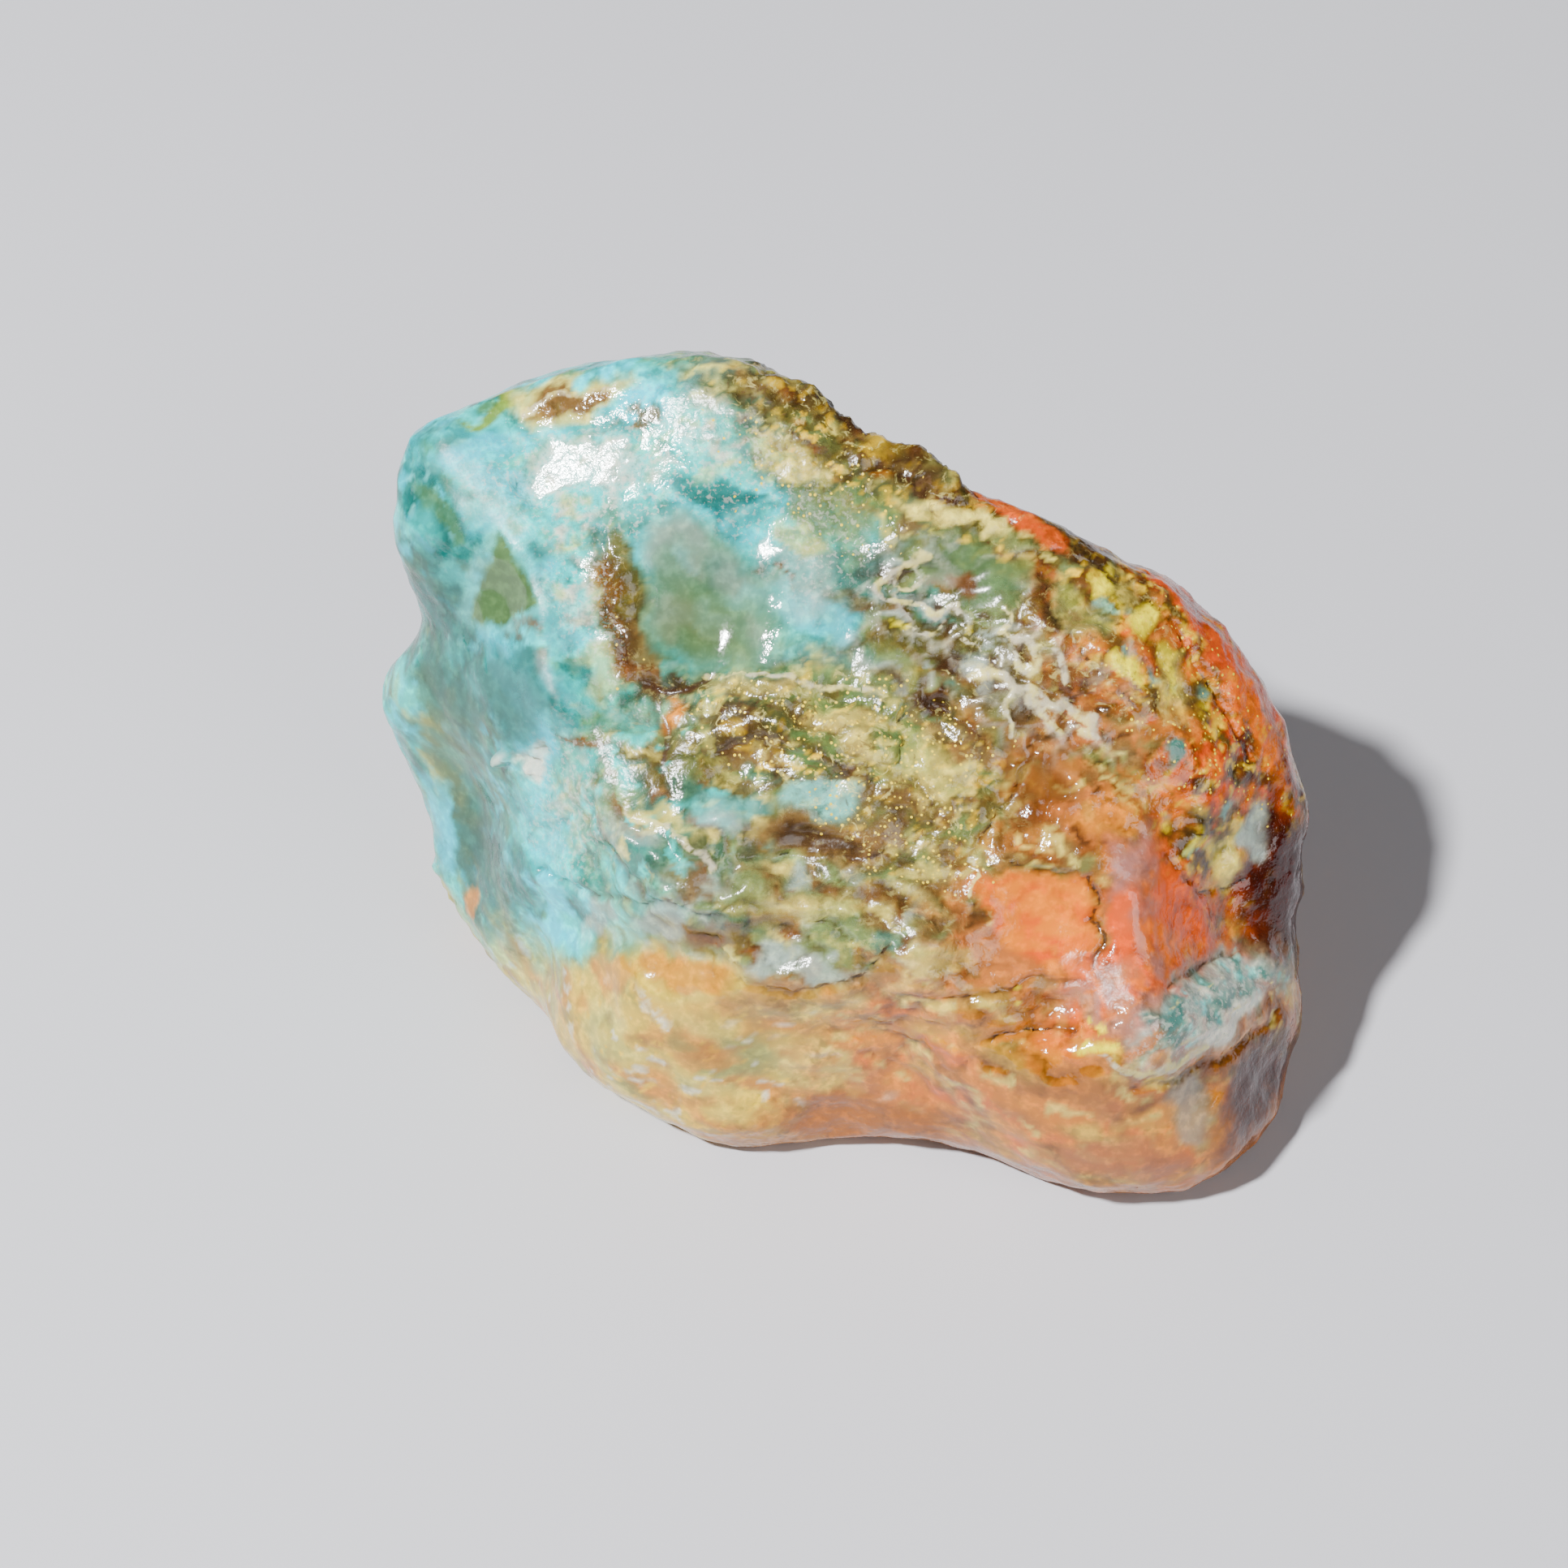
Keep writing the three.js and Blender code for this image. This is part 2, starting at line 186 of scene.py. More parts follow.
# Soft brush marks on the front of the stone, laid one over another in this order:
# colour or mixture, across, uphill, half length, half width, turn in degrees, strength.
PATCHES = (
    # the ground, from the blue-green end to the orange end
    ("shore", -9.0, 6.5, 7.0, 7.0, 0, 1.0),
    ("shore", -10.0, -1.5, 4.2, 5.6, 10, 1.0),
    ("shore", -1.5, 6.6, 4.6, 3.4, -20, 1.0),
    ("deeps", -12.4, 4.0, 1.9, 6.0, 12, 0.9),
    ("shallows", -13.0, -1.5, 1.6, 5.4, 8, 0.9),
    ("deeps", -10.6, -3.4, 1.0, 3.0, 14, 0.6),
    ("deep_teal", -11.4, -3.8, 0.9, 2.4, 14, 0.6),
    ("clay", -11.4, -3.9, 0.5, 1.6, 14, 0.3),
    ("moss", -12.7, 0.4, 0.9, 3.0, 8, 0.6),
    ("deep_teal", -12.6, 4.6, 1.3, 2.6, 8, 0.5),
    ("deep_teal", -12.2, -2.8, 1.0, 2.4, 12, 0.45),
    ("sky", -13.1, -2.4, 0.5, 1.6, 10, 0.8),
    ("amber", -12.2, -4.9, 0.4, 0.5, 0, 0.8),
    ("deep_teal", -10.6, 1.6, 1.3, 1.7, 20, 0.5),
    ("teal", -9.1, 4.0, 0.5, 1.3, 20, 0.5),
    ("sky", -9.2, -2.6, 0.7, 1.8, 10, 0.7),
    ("kelp", -5.2, -2.0, 3.8, 2.8, -20, 1.0),
    ("wall", -6.0, -9.6, 6.2, 3.4, -12, 1.0),
    ("wall", -0.5, -9.6, 4.6, 2.6, 0, 1.0),
    ("draped", -0.6, -5.4, 5.0, 2.2, -6, 1.0),
    ("flesh", 5.6, -1.0, 4.6, 4.0, -30, 1.0),
    ("lobe", 4.0, -9.8, 5.0, 2.4, -12, 1.0),
    ("lobe", 9.0, -11.2, 5.2, 3.4, -10, 1.0),
    ("mud", -0.2, 0.4, 5.2, 2.2, -8, 1.0),
    ("mud", 2.4, -2.2, 2.6, 2.4, -40, 0.8),
    ("foam", 3.4, 3.8, 4.6, 2.6, -24, 1.0),
    ("flesh", 9.0, 0.8, 3.4, 2.6, -40, 1.0),
    ("thicket", -0.6, 9.6, 4.6, 2.0, -28, 1.0),
    ("thicket", 5.4, 6.6, 4.0, 1.3, -26, 1.0),
    ("embers", 9.4, 4.0, 3.8, 2.2, -38, 1.0),
    ("thicket", 7.4, 5.8, 2.4, 1.0, -34, 1.0),
    ("brown", 6.6, 6.7, 2.2, 0.5, -34, 0.7),
    ("lichen", 9.2, 3.4, 2.2, 1.3, -40, 0.7),
    ("embers", 12.4, -0.2, 2.4, 5.0, 20, 1.0),
    ("embers", 11.0, -3.6, 2.2, 2.4, 0, 0.8),
    ("lichen", 10.5, 1.7, 1.3, 1.0, -50, 0.8),
    ("tan", 10.5, 0.9, 0.8, 0.7, -30, 0.6),
    ("cream", 10.4, 2.3, 0.7, 0.6, -40, 0.5),
    ("moss", 7.4, 4.0, 1.0, 0.7, -30, 0.7),
    # wine at the right end: painted shade
    ("wine", 14.0, -4.6, 1.6, 2.4, 10, 0.9),
    # ember and orange along the upper right rim: partly the rim's own red-orange, partly painted glow of
    # light coming through it
    ("ember", 11.9, 3.4, 3.2, 0.5, -52, 0.8),
    ("orange", 13.3, 0.4, 2.2, 0.4, -68, 0.6),
    # the blue-green end
    # where the main light gleams at the upper left: frost, partly pale grains and partly a painted highlight,
    # then white, a painted highlight
    ("frost", -7.4, 8.6, 3.6, 1.3, 6, 0.7),
    ("white", -8.2, 8.6, 1.8, 0.9, 6, 0.5),
    ("frost", -8.0, 5.4, 0.8, 2.6, 14, 0.9),
    ("frost", -8.4, -1.6, 1.2, 1.8, 10, 0.4),
    ("frost", -4.0, 9.8, 1.8, 1.2, 0, 0.6),
    ("sky", -11.6, 9.4, 1.1, 0.5, 30, 0.6),
    ("sky", -10.7, 8.4, 1.5, 0.5, -30, 0.6),
    ("sky", -6.0, 10.8, 0.9, 0.5, 10, 0.9),
    ("sky", -10.4, 2.6, 0.5, 1.6, 25, 0.6),
    ("sky", -9.6, 0.2, 0.5, 1.6, 10, 0.7),
    ("shore", -8.8, -5.2, 1.0, 1.6, 10, 1.0),
    ("sky", -9.0, -5.2, 0.4, 1.2, 10, 0.8),
    # white here is a painted highlight on the left face
    ("white", -9.8, -0.4, 0.5, 0.7, 0, 0.9),
    ("slate", -7.6, -5.2, 0.6, 0.5, 0, 0.7),
    ("sky", -0.8, 4.2, 1.4, 0.8, -20, 0.5),
    ("teal", 0.4, 5.2, 1.4, 0.6, -20, 0.6),
    ("slate", -1.4, 5.2, 1.2, 1.2, -30, 0.5),
    ("rust", -2.0, 5.3, 0.5, 0.16, -30, 0.8),
    ("clay", 0.4, 4.6, 0.9, 0.3, -10, 0.6),
    ("lime", -11.2, 10.6, 1.2, 0.25, 15, 0.9),
    ("lime", -12.6, 7.4, 1.3, 0.3, -50, 0.3),
    ("deep_teal", -12.9, 3.6, 0.7, 2.6, 6, 0.6),
    ("deep_teal", -12.0, 1.0, 0.5, 1.8, 6, 0.5),
    # windows
    ("deep_teal", -4.1, 7.8, 1.1, 0.42, -10, 0.6),
    ("teal", -10.2, 1.9, 1.1, 1.2, 20, 0.8),
    # rust beside the window and along the crack under it
    ("mud", -6.9, 4.4, 0.95, 2.4, 12, 1.0),
    ("olive", -6.8, 5.4, 0.5, 1.5, 8, 0.8),
    ("rust", -7.3, 4.4, 0.4, 1.5, 10, 0.7),
    ("cream", -7.7, 2.5, 0.6, 0.9, 10, 0.5),
    ("clay", -6.6, 3.0, 0.9, 0.9, 30, 0.8),
    ("brown", -6.8, 3.3, 0.45, 0.6, 30, 0.7),
    ("brown", -5.2, 1.8, 1.3, 0.3, 8, 0.8),
    ("rust", -6.3, 2.2, 0.9, 0.4, -50, 0.9),
    ("rust", -6.0, -0.6, 0.35, 1.2, 10, 0.7),
    ("amber", -5.6, 1.0, 0.5, 0.35, 0, 0.9),
    ("rust", -8.2, 0.2, 0.6, 0.22, -10, 0.8),
    ("rust", -9.9, 3.7, 0.45, 0.2, 0, 0.8),
    ("rust", -9.3, 2.9, 0.3, 0.15, 20, 0.6),
    # the slot and the crust under the crest
    ("cream", -8.4, 10.95, 1.75, 0.52, 12, 0.9),
    ("clay", -8.3, 10.95, 1.3, 0.34, 12, 1.0),
    ("clay", -6.4, 10.35, 0.6, 0.2, 10, 0.9),
    ("olive", -2.8, 10.8, 1.0, 1.2, -20, 0.5),
    ("brown", -0.2, 10.6, 1.9, 0.5, -35, 0.6),
    ("cream", -1.8, 8.9, 1.4, 0.6, -30, 0.5),
    ("moss", -0.2, 7.2, 1.4, 0.7, -20, 0.8),
    ("mud", 1.4, 7.4, 1.6, 0.8, -25, 0.8),
    ("brown", 1.6, 8.5, 1.4, 0.5, -30, 0.6),
    ("cream", -1.4, 6.6, 0.9, 0.5, -30, 0.6),
    ("gold", 1.4, 9.6, 0.6, 0.6, 0, 0.7),
    ("olive", 0.0, 9.2, 0.8, 0.4, -30, 0.7),
    ("brown", 2.8, 8.7, 2.0, 0.7, -35, 0.8),
    ("thicket", 4.4, 8.2, 2.4, 0.7, -35, 0.9),
    ("cream", 3.6, 7.1, 1.9, 0.3, -14, 1.0),
    ("ember", 5.6, 7.3, 1.8, 0.4, -35, 0.8),
    # green window, brown spots and pits at the right
    ("green_glass", 4.2, 5.5, 1.6, 0.85, -12, 0.8),
    ("rust", 3.7, 5.3, 0.6, 0.42, 0, 0.9),
    ("brown", 6.3, 4.4, 0.45, 1.0, 20, 0.8),
    ("brown", 3.1, 1.2, 0.6, 0.45, -10, 1.0),
    ("olive", 2.2, 3.2, 1.2, 0.6, -10, 0.8),
    ("brown", 3.2, 2.7, 0.7, 0.4, -20, 0.7),
    ("brown", 7.1, 1.7, 0.3, 0.25, 0, 0.9),
    ("brown", 5.6, 1.3, 0.25, 0.5, 10, 0.7),
    ("brown", 4.6, 1.6, 0.4, 0.3, -30, 0.7),
    ("rust", 6.9, 2.3, 0.3, 0.5, 20, 0.7),
    ("brown", 6.5, 0.6, 0.3, 0.3, 0, 0.6),
    ("brown", 5.6, 2.9, 0.25, 0.3, 0, 0.7),
    ("brown", 8.2, 1.0, 0.3, 0.25, 0, 0.9),
    # the crust across the middle
    ("brown", -2.6, 0.6, 1.3, 0.6, -20, 0.6),
    ("cream", -2.6, 1.9, 2.0, 0.3, -6, 0.4),
    ("cream", 1.6, -0.6, 1.8, 0.5, -30, 0.4),
    ("clay", -1.0, 0.9, 1.6, 0.4, -12, 0.6),
    ("clay", 1.4, -1.6, 2.0, 0.4, -14, 0.5),
    ("kelp", -5.4, -0.6, 1.6, 1.2, 0, 0.8),
    ("olive", -4.6, -0.4, 1.2, 0.8, 0, 0.5),
    ("olive", -4.6, -1.6, 0.9, 0.4, -20, 0.4),
    ("cream", 3.0, -0.5, 1.3, 0.6, -30, 0.5),
    ("cream", 0.2, 1.0, 1.4, 0.4, -4, 0.5),
    ("cream", -0.8, -5.0, 1.8, 0.5, -5, 0.5),
    ("ice", -0.8, -1.6, 1.3, 0.45, 4, 0.6),
    ("ice", -3.6, -2.0, 0.8, 0.6, 0, 0.5),
    ("slate", -3.7, -2.4, 0.7, 0.5, 0, 0.6),
    ("moss", -2.9, -4.3, 0.8, 0.6, 0, 0.8),
    ("slate", -2.2, -6.7, 0.8, 0.3, 30, 0.7),
    ("slate", -0.8, -6.9, 0.9, 0.3, -20, 0.7),
    ("teal", 1.5, -5.8, 0.6, 0.25, 20, 0.6),
    ("slate", 3.0, -6.1, 0.6, 0.25, 30, 0.6),
    ("slate", -6.4, -2.6, 0.9, 0.4, -40, 0.5),
    ("slate", -5.6, -5.5, 0.9, 0.5, 0, 0.7),
    ("clay", -0.8, -2.75, 1.9, 0.75, -4, 0.9),
    ("brown", -0.9, -2.8, 1.3, 0.4, -4, 0.7),
    ("clay", 1.4, -2.6, 0.8, 0.5, -4, 0.8),
    ("cream", -5.6, -2.1, 1.2, 0.25, -35, 0.7),
    ("rust", -3.6, -5.8, 1.3, 0.4, -20, 0.6),
    ("rust", 0.8, -4.6, 1.4, 0.35, -10, 0.5),
    ("honey", -4.8, -7.4, 2.6, 1.0, -14, 0.6),
    ("amber", -5.0, -7.0, 1.2, 0.5, -14, 0.6),
    ("tan", -2.6, -7.6, 1.6, 0.5, 10, 0.5),
    ("amber", -4.2, -9.6, 1.0, 0.4, 10, 0.5),
    ("amber", -7.0, -7.0, 0.8, 0.5, -30, 0.5),
    # orange glow with its reddish and mauve borders
    ("flesh", 3.4, -5.6, 1.2, 1.6, 0, 0.8),
    ("flesh", 6.0, -5.0, 3.0, 2.4, -20, 0.9),
    ("blush", 5.4, -6.6, 1.6, 1.1, -10, 0.7),
    ("cream", 3.0, -6.6, 1.2, 0.5, 0, 0.5),
    ("ember", 10.2, -5.0, 1.8, 2.0, 0, 0.8),
    ("orange", 10.4, -5.6, 0.7, 0.9, 20, 0.6),
    ("rose", 9.0, -4.6, 0.8, 2.4, -8, 0.8),
    ("mauve", 9.0, -4.2, 0.5, 2.0, -8, 0.8),
    ("rose", 8.4, -7.2, 1.6, 0.8, 20, 0.8),
    ("ember", 8.6, -5.6, 0.5, 1.3, -20, 0.8),
    ("ember", 10.4, -5.2, 1.0, 0.6, -30, 0.8),
    ("orange", 9.9, -6.0, 0.4, 0.7, 10, 0.7),
    ("amber", 8.0, -2.2, 1.0, 0.5, 0, 0.6),
    ("rust", 6.0, -0.9, 1.4, 0.8, -50, 0.6),
    # lumps near the right edge
    ("lichen", 11.4, -2.8, 1.6, 1.1, 20, 0.9),
    ("sulphur", 10.9, -2.9, 0.5, 0.3, 20, 0.7),
    ("cream", 12.3, -3.6, 0.5, 0.9, -20, 0.8),
    ("slate", 13.2, -2.6, 0.45, 0.9, 0, 0.9),
    ("teal", 10.3, -0.2, 0.4, 0.3, 0, 0.9),
    # blue-grey lump at the lower right with its white streak
    ("rose", 9.2, -7.8, 2.4, 0.9, 20, 0.7),
    ("mauve", 9.6, -8.2, 1.6, 0.6, 24, 0.6),
    ("ash", 11.6, -7.9, 3.0, 1.15, 25, 0.95),
    ("ash", 10.2, -8.4, 1.2, 0.6, 26, 0.6),
    ("teal", 12.6, -7.6, 0.8, 0.4, 24, 0.4),
    ("white", 12.2, -8.5, 1.4, 0.35, 24, 0.9),
    ("orange", 9.4, -9.0, 0.9, 0.3, 20, 0.6),
    # lower lobe
    ("rust", 6.2, -10.2, 1.8, 0.6, -12, 0.35),
    # rust under the blue-grey lump: painted shade below it
    ("rust", 11.4, -10.3, 2.4, 0.5, 24, 0.6),
    ("slate", 11.0, -11.2, 0.6, 1.3, 20, 0.55),
    ("blush", 8.8, -13.0, 2.4, 0.7, -4, 0.8),
    # rust: painted shade at the lower right edge
    ("rust", 12.8, -11.4, 1.0, 1.8, -30, 0.8),
    ("amber", 12.2, -12.4, 0.6, 1.6, -30, 0.8),
    # wine: painted shade at the lower right edge and at the right end
    ("wine", 13.4, -10.8, 0.9, 2.2, -30, 0.9),
    ("wine", 14.2, -3.8, 0.8, 2.6, 6, 0.9),
    ("resin", 0.6, -11.9, 3.0, 0.8, -4, 1.0),
    # bright yellow flecks
    ("sulphur", 7.7, -9.3, 0.5, 0.22, 0, 1.0),
    ("sulphur", 7.9, -8.5, 0.2, 0.14, 0, 0.9),
    ("sulphur", 5.2, -7.6, 0.2, 0.12, 0, 0.9),
    ("sulphur", 8.1, 5.2, 0.34, 0.34, 0, 1.0),
    ("sulphur", 9.4, 4.0, 0.5, 0.6, 0, 1.0),
    ("sulphur", 8.7, 2.5, 0.5, 0.32, -20, 1.0),
    ("sulphur", 10.3, 2.5, 0.25, 0.6, 20, 0.6),
    ("sulphur", 1.8, 3.5, 0.3, 0.1, 0, 0.8),
    ("sulphur", 4.2, 3.5, 0.12, 0.12, 0, 0.8),
)

# Clear panes with edges of their own: colour or mixture, softness of the edge, strength and
# corners (across, uphill).
PANES = (
    ("glass", 0.4, 1.0, (
        (-6.2, 6.9), (-4.9, 7.3), (-3.6, 6.8), (-2.6, 5.4), (-1.7, 3.9), (-2.6, 2.8), (-4.4, 2.7),
        (-6.0, 3.5),
    )),
    ("olive_glass", 1.2, 0.7, ((-5.4, 5.0), (-4.2, 5.2), (-3.0, 4.2), (-2.6, 2.8), (-4.6, 2.7), (-5.7, 3.5))),
    ("ice", 0.25, 0.4, ((-10.8, 7.3), (-12.2, 4.1), (-10.6, 3.4), (-8.9, 4.5), (-10.0, 6.2))),
    ("green_glass", 0.12, 1.0, ((-10.7, 6.7), (-11.6, 4.1), (-10.6, 3.8), (-9.3, 4.5), (-10.0, 5.7))),
    ("teal", 0.3, 0.8, ((-5.0, 7.7), (-4.2, 8.3), (-2.9, 7.8), (-3.4, 7.4))),
    ("fire", 0.25, 1.0, (
        (3.9, -4.2), (5.0, -3.8), (6.6, -4.0), (7.5, -3.9), (7.8, -5.2), (7.8, -6.8), (6.8, -7.2),
        (5.4, -6.2), (4.6, -5.4),
    )),
)

# Long marks: shade, half width, rise (sunk if below 0), share of the line that is coloured,
# and its points (across, uphill).
STREAKS = (
    # cracks, creases and veins, and painted shadow lines along two creases
    ("dark", 0.11, -0.22, 1.0, ((-6.2, 1.9), (-5.5, 1.6), (-4.9, 1.8), (-4.2, 2.3))),
    ("dark", 0.1, -0.18, 0.6, ((-7.4, 6.4), (-7.3, 5.4), (-7.3, 4.2), (-6.6, 2.6), (-5.8, 1.7))),
    ("dark", 0.09, -0.14, 0.7, ((-5.8, 1.2), (-5.5, 0.4), (-5.7, -0.6), (-5.3, -1.4))),
    # the crease under the ledge at the lower left, drawn dark as a painted shadow line
    ("dark", 0.09, -0.2, 0.4, ((-9.5, -3.9), (-7.9, -4.5), (-5.9, -4.9), (-3.5, -5.3))),
    ("dark", 0.08, -0.18, 0.4, ((6.1, 0.4), (5.5, -1.4), (4.4, -2.8), (3.8, -3.6))),
    ("dark", 0.08, -0.18, 0.9, ((7.5, -3.9), (7.8, -4.8), (7.6, -5.3), (8.0, -5.8), (7.8, -6.8))),
    ("dark", 0.06, -0.12, 0.5, ((4.6, -3.9), (5.4, -3.6), (6.4, -3.9), (7.2, -3.7))),
    ("dark", 0.08, -0.18, 0.5, ((2.3, -8.1), (4.0, -7.7), (5.7, -7.3), (7.4, -7.2))),
    ("dark", 0.09, -0.18, 0.6, ((4.6, -9.0), (6.0, -8.6), (7.2, -8.7))),
    # the crease under the blue-grey lump, drawn dark as a painted shadow line
    ("dark", 0.09, -0.14, 0.3, ((9.0, -10.5), (10.6, -10.2), (12.2, -9.5), (13.8, -8.5))),
    ("dark", 0.09, -0.12, 0.2, ((10.0, -7.3), (11.2, -6.8), (12.4, -6.5))),
    ("dark", 0.08, -0.18, 0.5, ((-3.4, -7.2), (-1.6, -7.6), (0.6, -7.1), (1.4, -6.0))),
    ("dark", 0.08, -0.16, 0.5, ((-3.0, -3.3), (-1.0, -3.4), (1.2, -3.2), (2.4, -3.8))),
    ("dark", 0.08, -0.16, 0.5, ((2.6, 1.9), (3.0, 1.2), (3.8, 0.8), (4.4, 0.2))),
    ("dark", 0.08, -0.16, 0.5, ((6.2, 5.2), (6.6, 4.2), (7.2, 3.2), (8.0, 2.2), (9.0, 1.4))),
    ("dark", 0.08, -0.14, 0.5, ((6.6, 6.3), (9.4, 4.9), (11.4, 2.4), (12.8, -0.4))),
    ("dark", 0.07, -0.14, 0.5, ((10.0, -3.3), (10.6, -4.2), (11.6, -4.5), (12.8, -4.2))),
    # raised pale lines
    ("pale", 0.1, 0.1, 0.8, ((-4.4, 2.3), (-2.5, 2.4), (-0.7, 1.9), (0.8, 1.8))),
    ("pale", 0.1, 0.08, 0.8, ((-9.9, 10.5), (-9.3, 10.8), (-8.4, 11.15), (-7.1, 11.35))),
    ("pale", 0.11, 0.12, 0.9, ((-6.7, -1.8), (-5.5, -2.5), (-4.4, -3.3), (-4.0, -3.8))),
    ("pale", 0.13, 0.1, 0.9, ((7.8, -9.6), (8.7, -10.0), (10.1, -9.8), (11.2, -9.3))),
    ("pale", 0.08, 0.08, 0.5, ((9.4, -9.3), (10.8, -9.0), (12.4, -8.2), (13.8, -7.4))),
    ("pale", 0.08, 0.08, 0.6, ((9.2, -8.3), (10.6, -7.8), (12.0, -7.1))),
    ("pale", 0.08, 0.08, 0.9, ((3.9, -3.4), (4.1, -4.0), (3.9, -4.6))),
    # ropy swirls
    ("pale", 0.11, 0.12, 0.9, ((1.1, 5.0), (1.7, 5.7), (2.2, 5.8), (2.7, 5.9))),
    ("pale", 0.11, 0.12, 0.9, ((1.1, 5.0), (1.5, 4.5), (2.4, 4.5), (2.8, 4.2), (3.5, 4.5), (3.7, 4.0))),
    ("pale", 0.08, 0.1, 0.8, ((1.7, 5.7), (1.8, 5.2), (2.2, 5.0), (2.6, 5.4))),
    ("pale", 0.08, 0.1, 0.8, ((1.9, 3.6), (2.6, 3.4), (3.0, 3.9))),
    ("pale", 0.1, 0.12, 0.9, ((4.9, 4.4), (5.1, 4.0), (4.9, 3.6), (5.3, 3.3))),
    ("pale", 0.12, 0.14, 0.9, ((5.4, 3.4), (5.9, 3.3), (6.1, 2.8), (5.9, 2.4), (5.4, 2.6), (5.3, 3.0))),
    ("pale", 0.16, 0.17, 1.0, ((4.2, 2.2), (4.9, 2.3), (5.3, 1.9), (5.9, 1.9), (6.2, 1.5), (6.6, 1.2))),
    ("pale", 0.16, 0.17, 1.0, ((6.6, 1.2), (6.9, 1.4), (7.4, 1.1), (7.9, 0.8), (7.8, 0.4), (7.3, 0.5))),
    ("pale", 0.1, 0.12, 0.9, ((5.3, 1.9), (5.1, 1.4), (5.3, 0.9), (5.2, 0.5))),
    ("pale", 0.11, 0.13, 0.9, ((5.9, 1.9), (5.7, 1.5), (6.1, 1.2), (6.4, 0.8), (6.6, 0.3))),
    ("pale", 0.1, 0.11, 0.8, ((6.1, 3.1), (6.6, 3.0), (6.9, 2.6), (7.1, 2.0))),
    ("pale", 0.08, 0.09, 0.6, ((3.1, 2.4), (3.7, 1.9), (4.0, 1.6), (4.6, 1.5))),
    ("pale", 0.08, 0.09, 0.6, ((3.6, 3.4), (4.2, 3.1), (4.6, 2.6))),
)

# Rounded lumps, and pits where rise is negative: across, uphill, half length, half width,
# turn and rise.
LUMPS = (
    (-4.4, 4.9, 2.3, 2.6, -35, -0.2),
    (-10.5, 4.7, 1.1, 1.6, 14, -0.2),
    (-12.4, 9.4, 1.2, 1.2, 0, 0.15),
    (-3.6, -2.2, 0.9, 0.8, 0, 0.22),
    (-2.9, -4.3, 0.8, 0.7, 0, 0.2),
    (-0.8, -2.75, 1.5, 0.6, -4, -0.25),
    (-2.5, 0.4, 0.6, 0.45, 0, -0.2),
    (3.1, 1.3, 0.7, 0.5, 0, -0.25),
    (3.9, 5.4, 1.0, 0.6, -10, -0.2),
    (12.0, -7.8, 2.6, 1.2, 26, 0.16),
    (10.0, -8.6, 1.2, 0.7, 20, 0.12),
    (6.2, -5.4, 2.3, 2.0, -20, -0.12),
    (11.0, -2.7, 0.8, 0.6, 20, 0.22),
    (12.4, -3.6, 0.7, 0.8, -20, 0.2),
    (-1.2, -6.9, 1.2, 0.5, 10, 0.16),
    (2.6, -6.1, 1.2, 0.5, 20, 0.16),
    (1.4, -5.4, 0.8, 0.5, -30, -0.14),
)

# Worn flats that gleam, because they face halfway between the main light and the camera:
# across, uphill, half length, half width and turn.
GLEAMING_FLATS = (
    (-8.2, 8.75, 1.55, 0.9, 14),
    (-6.6, 8.0, 0.4, 0.35, 0),
    (-6.3, 9.6, 0.35, 0.28, 0),
    (-5.5, 10.6, 0.45, 0.35, 0),
    (-2.2, 6.0, 0.45, 0.35, 0),
    (-1.0, 5.8, 0.35, 0.3, 0),
    (-9.8, -0.3, 0.5, 0.4, 0),
)

# A flat that doesn't gleam, and how steeply it climbs across and uphill.
QUIET_FLAT = (6.0, -0.9, 1.0, 0.7, -50)
QUIET_CLIMB = (-0.1, 0.15)

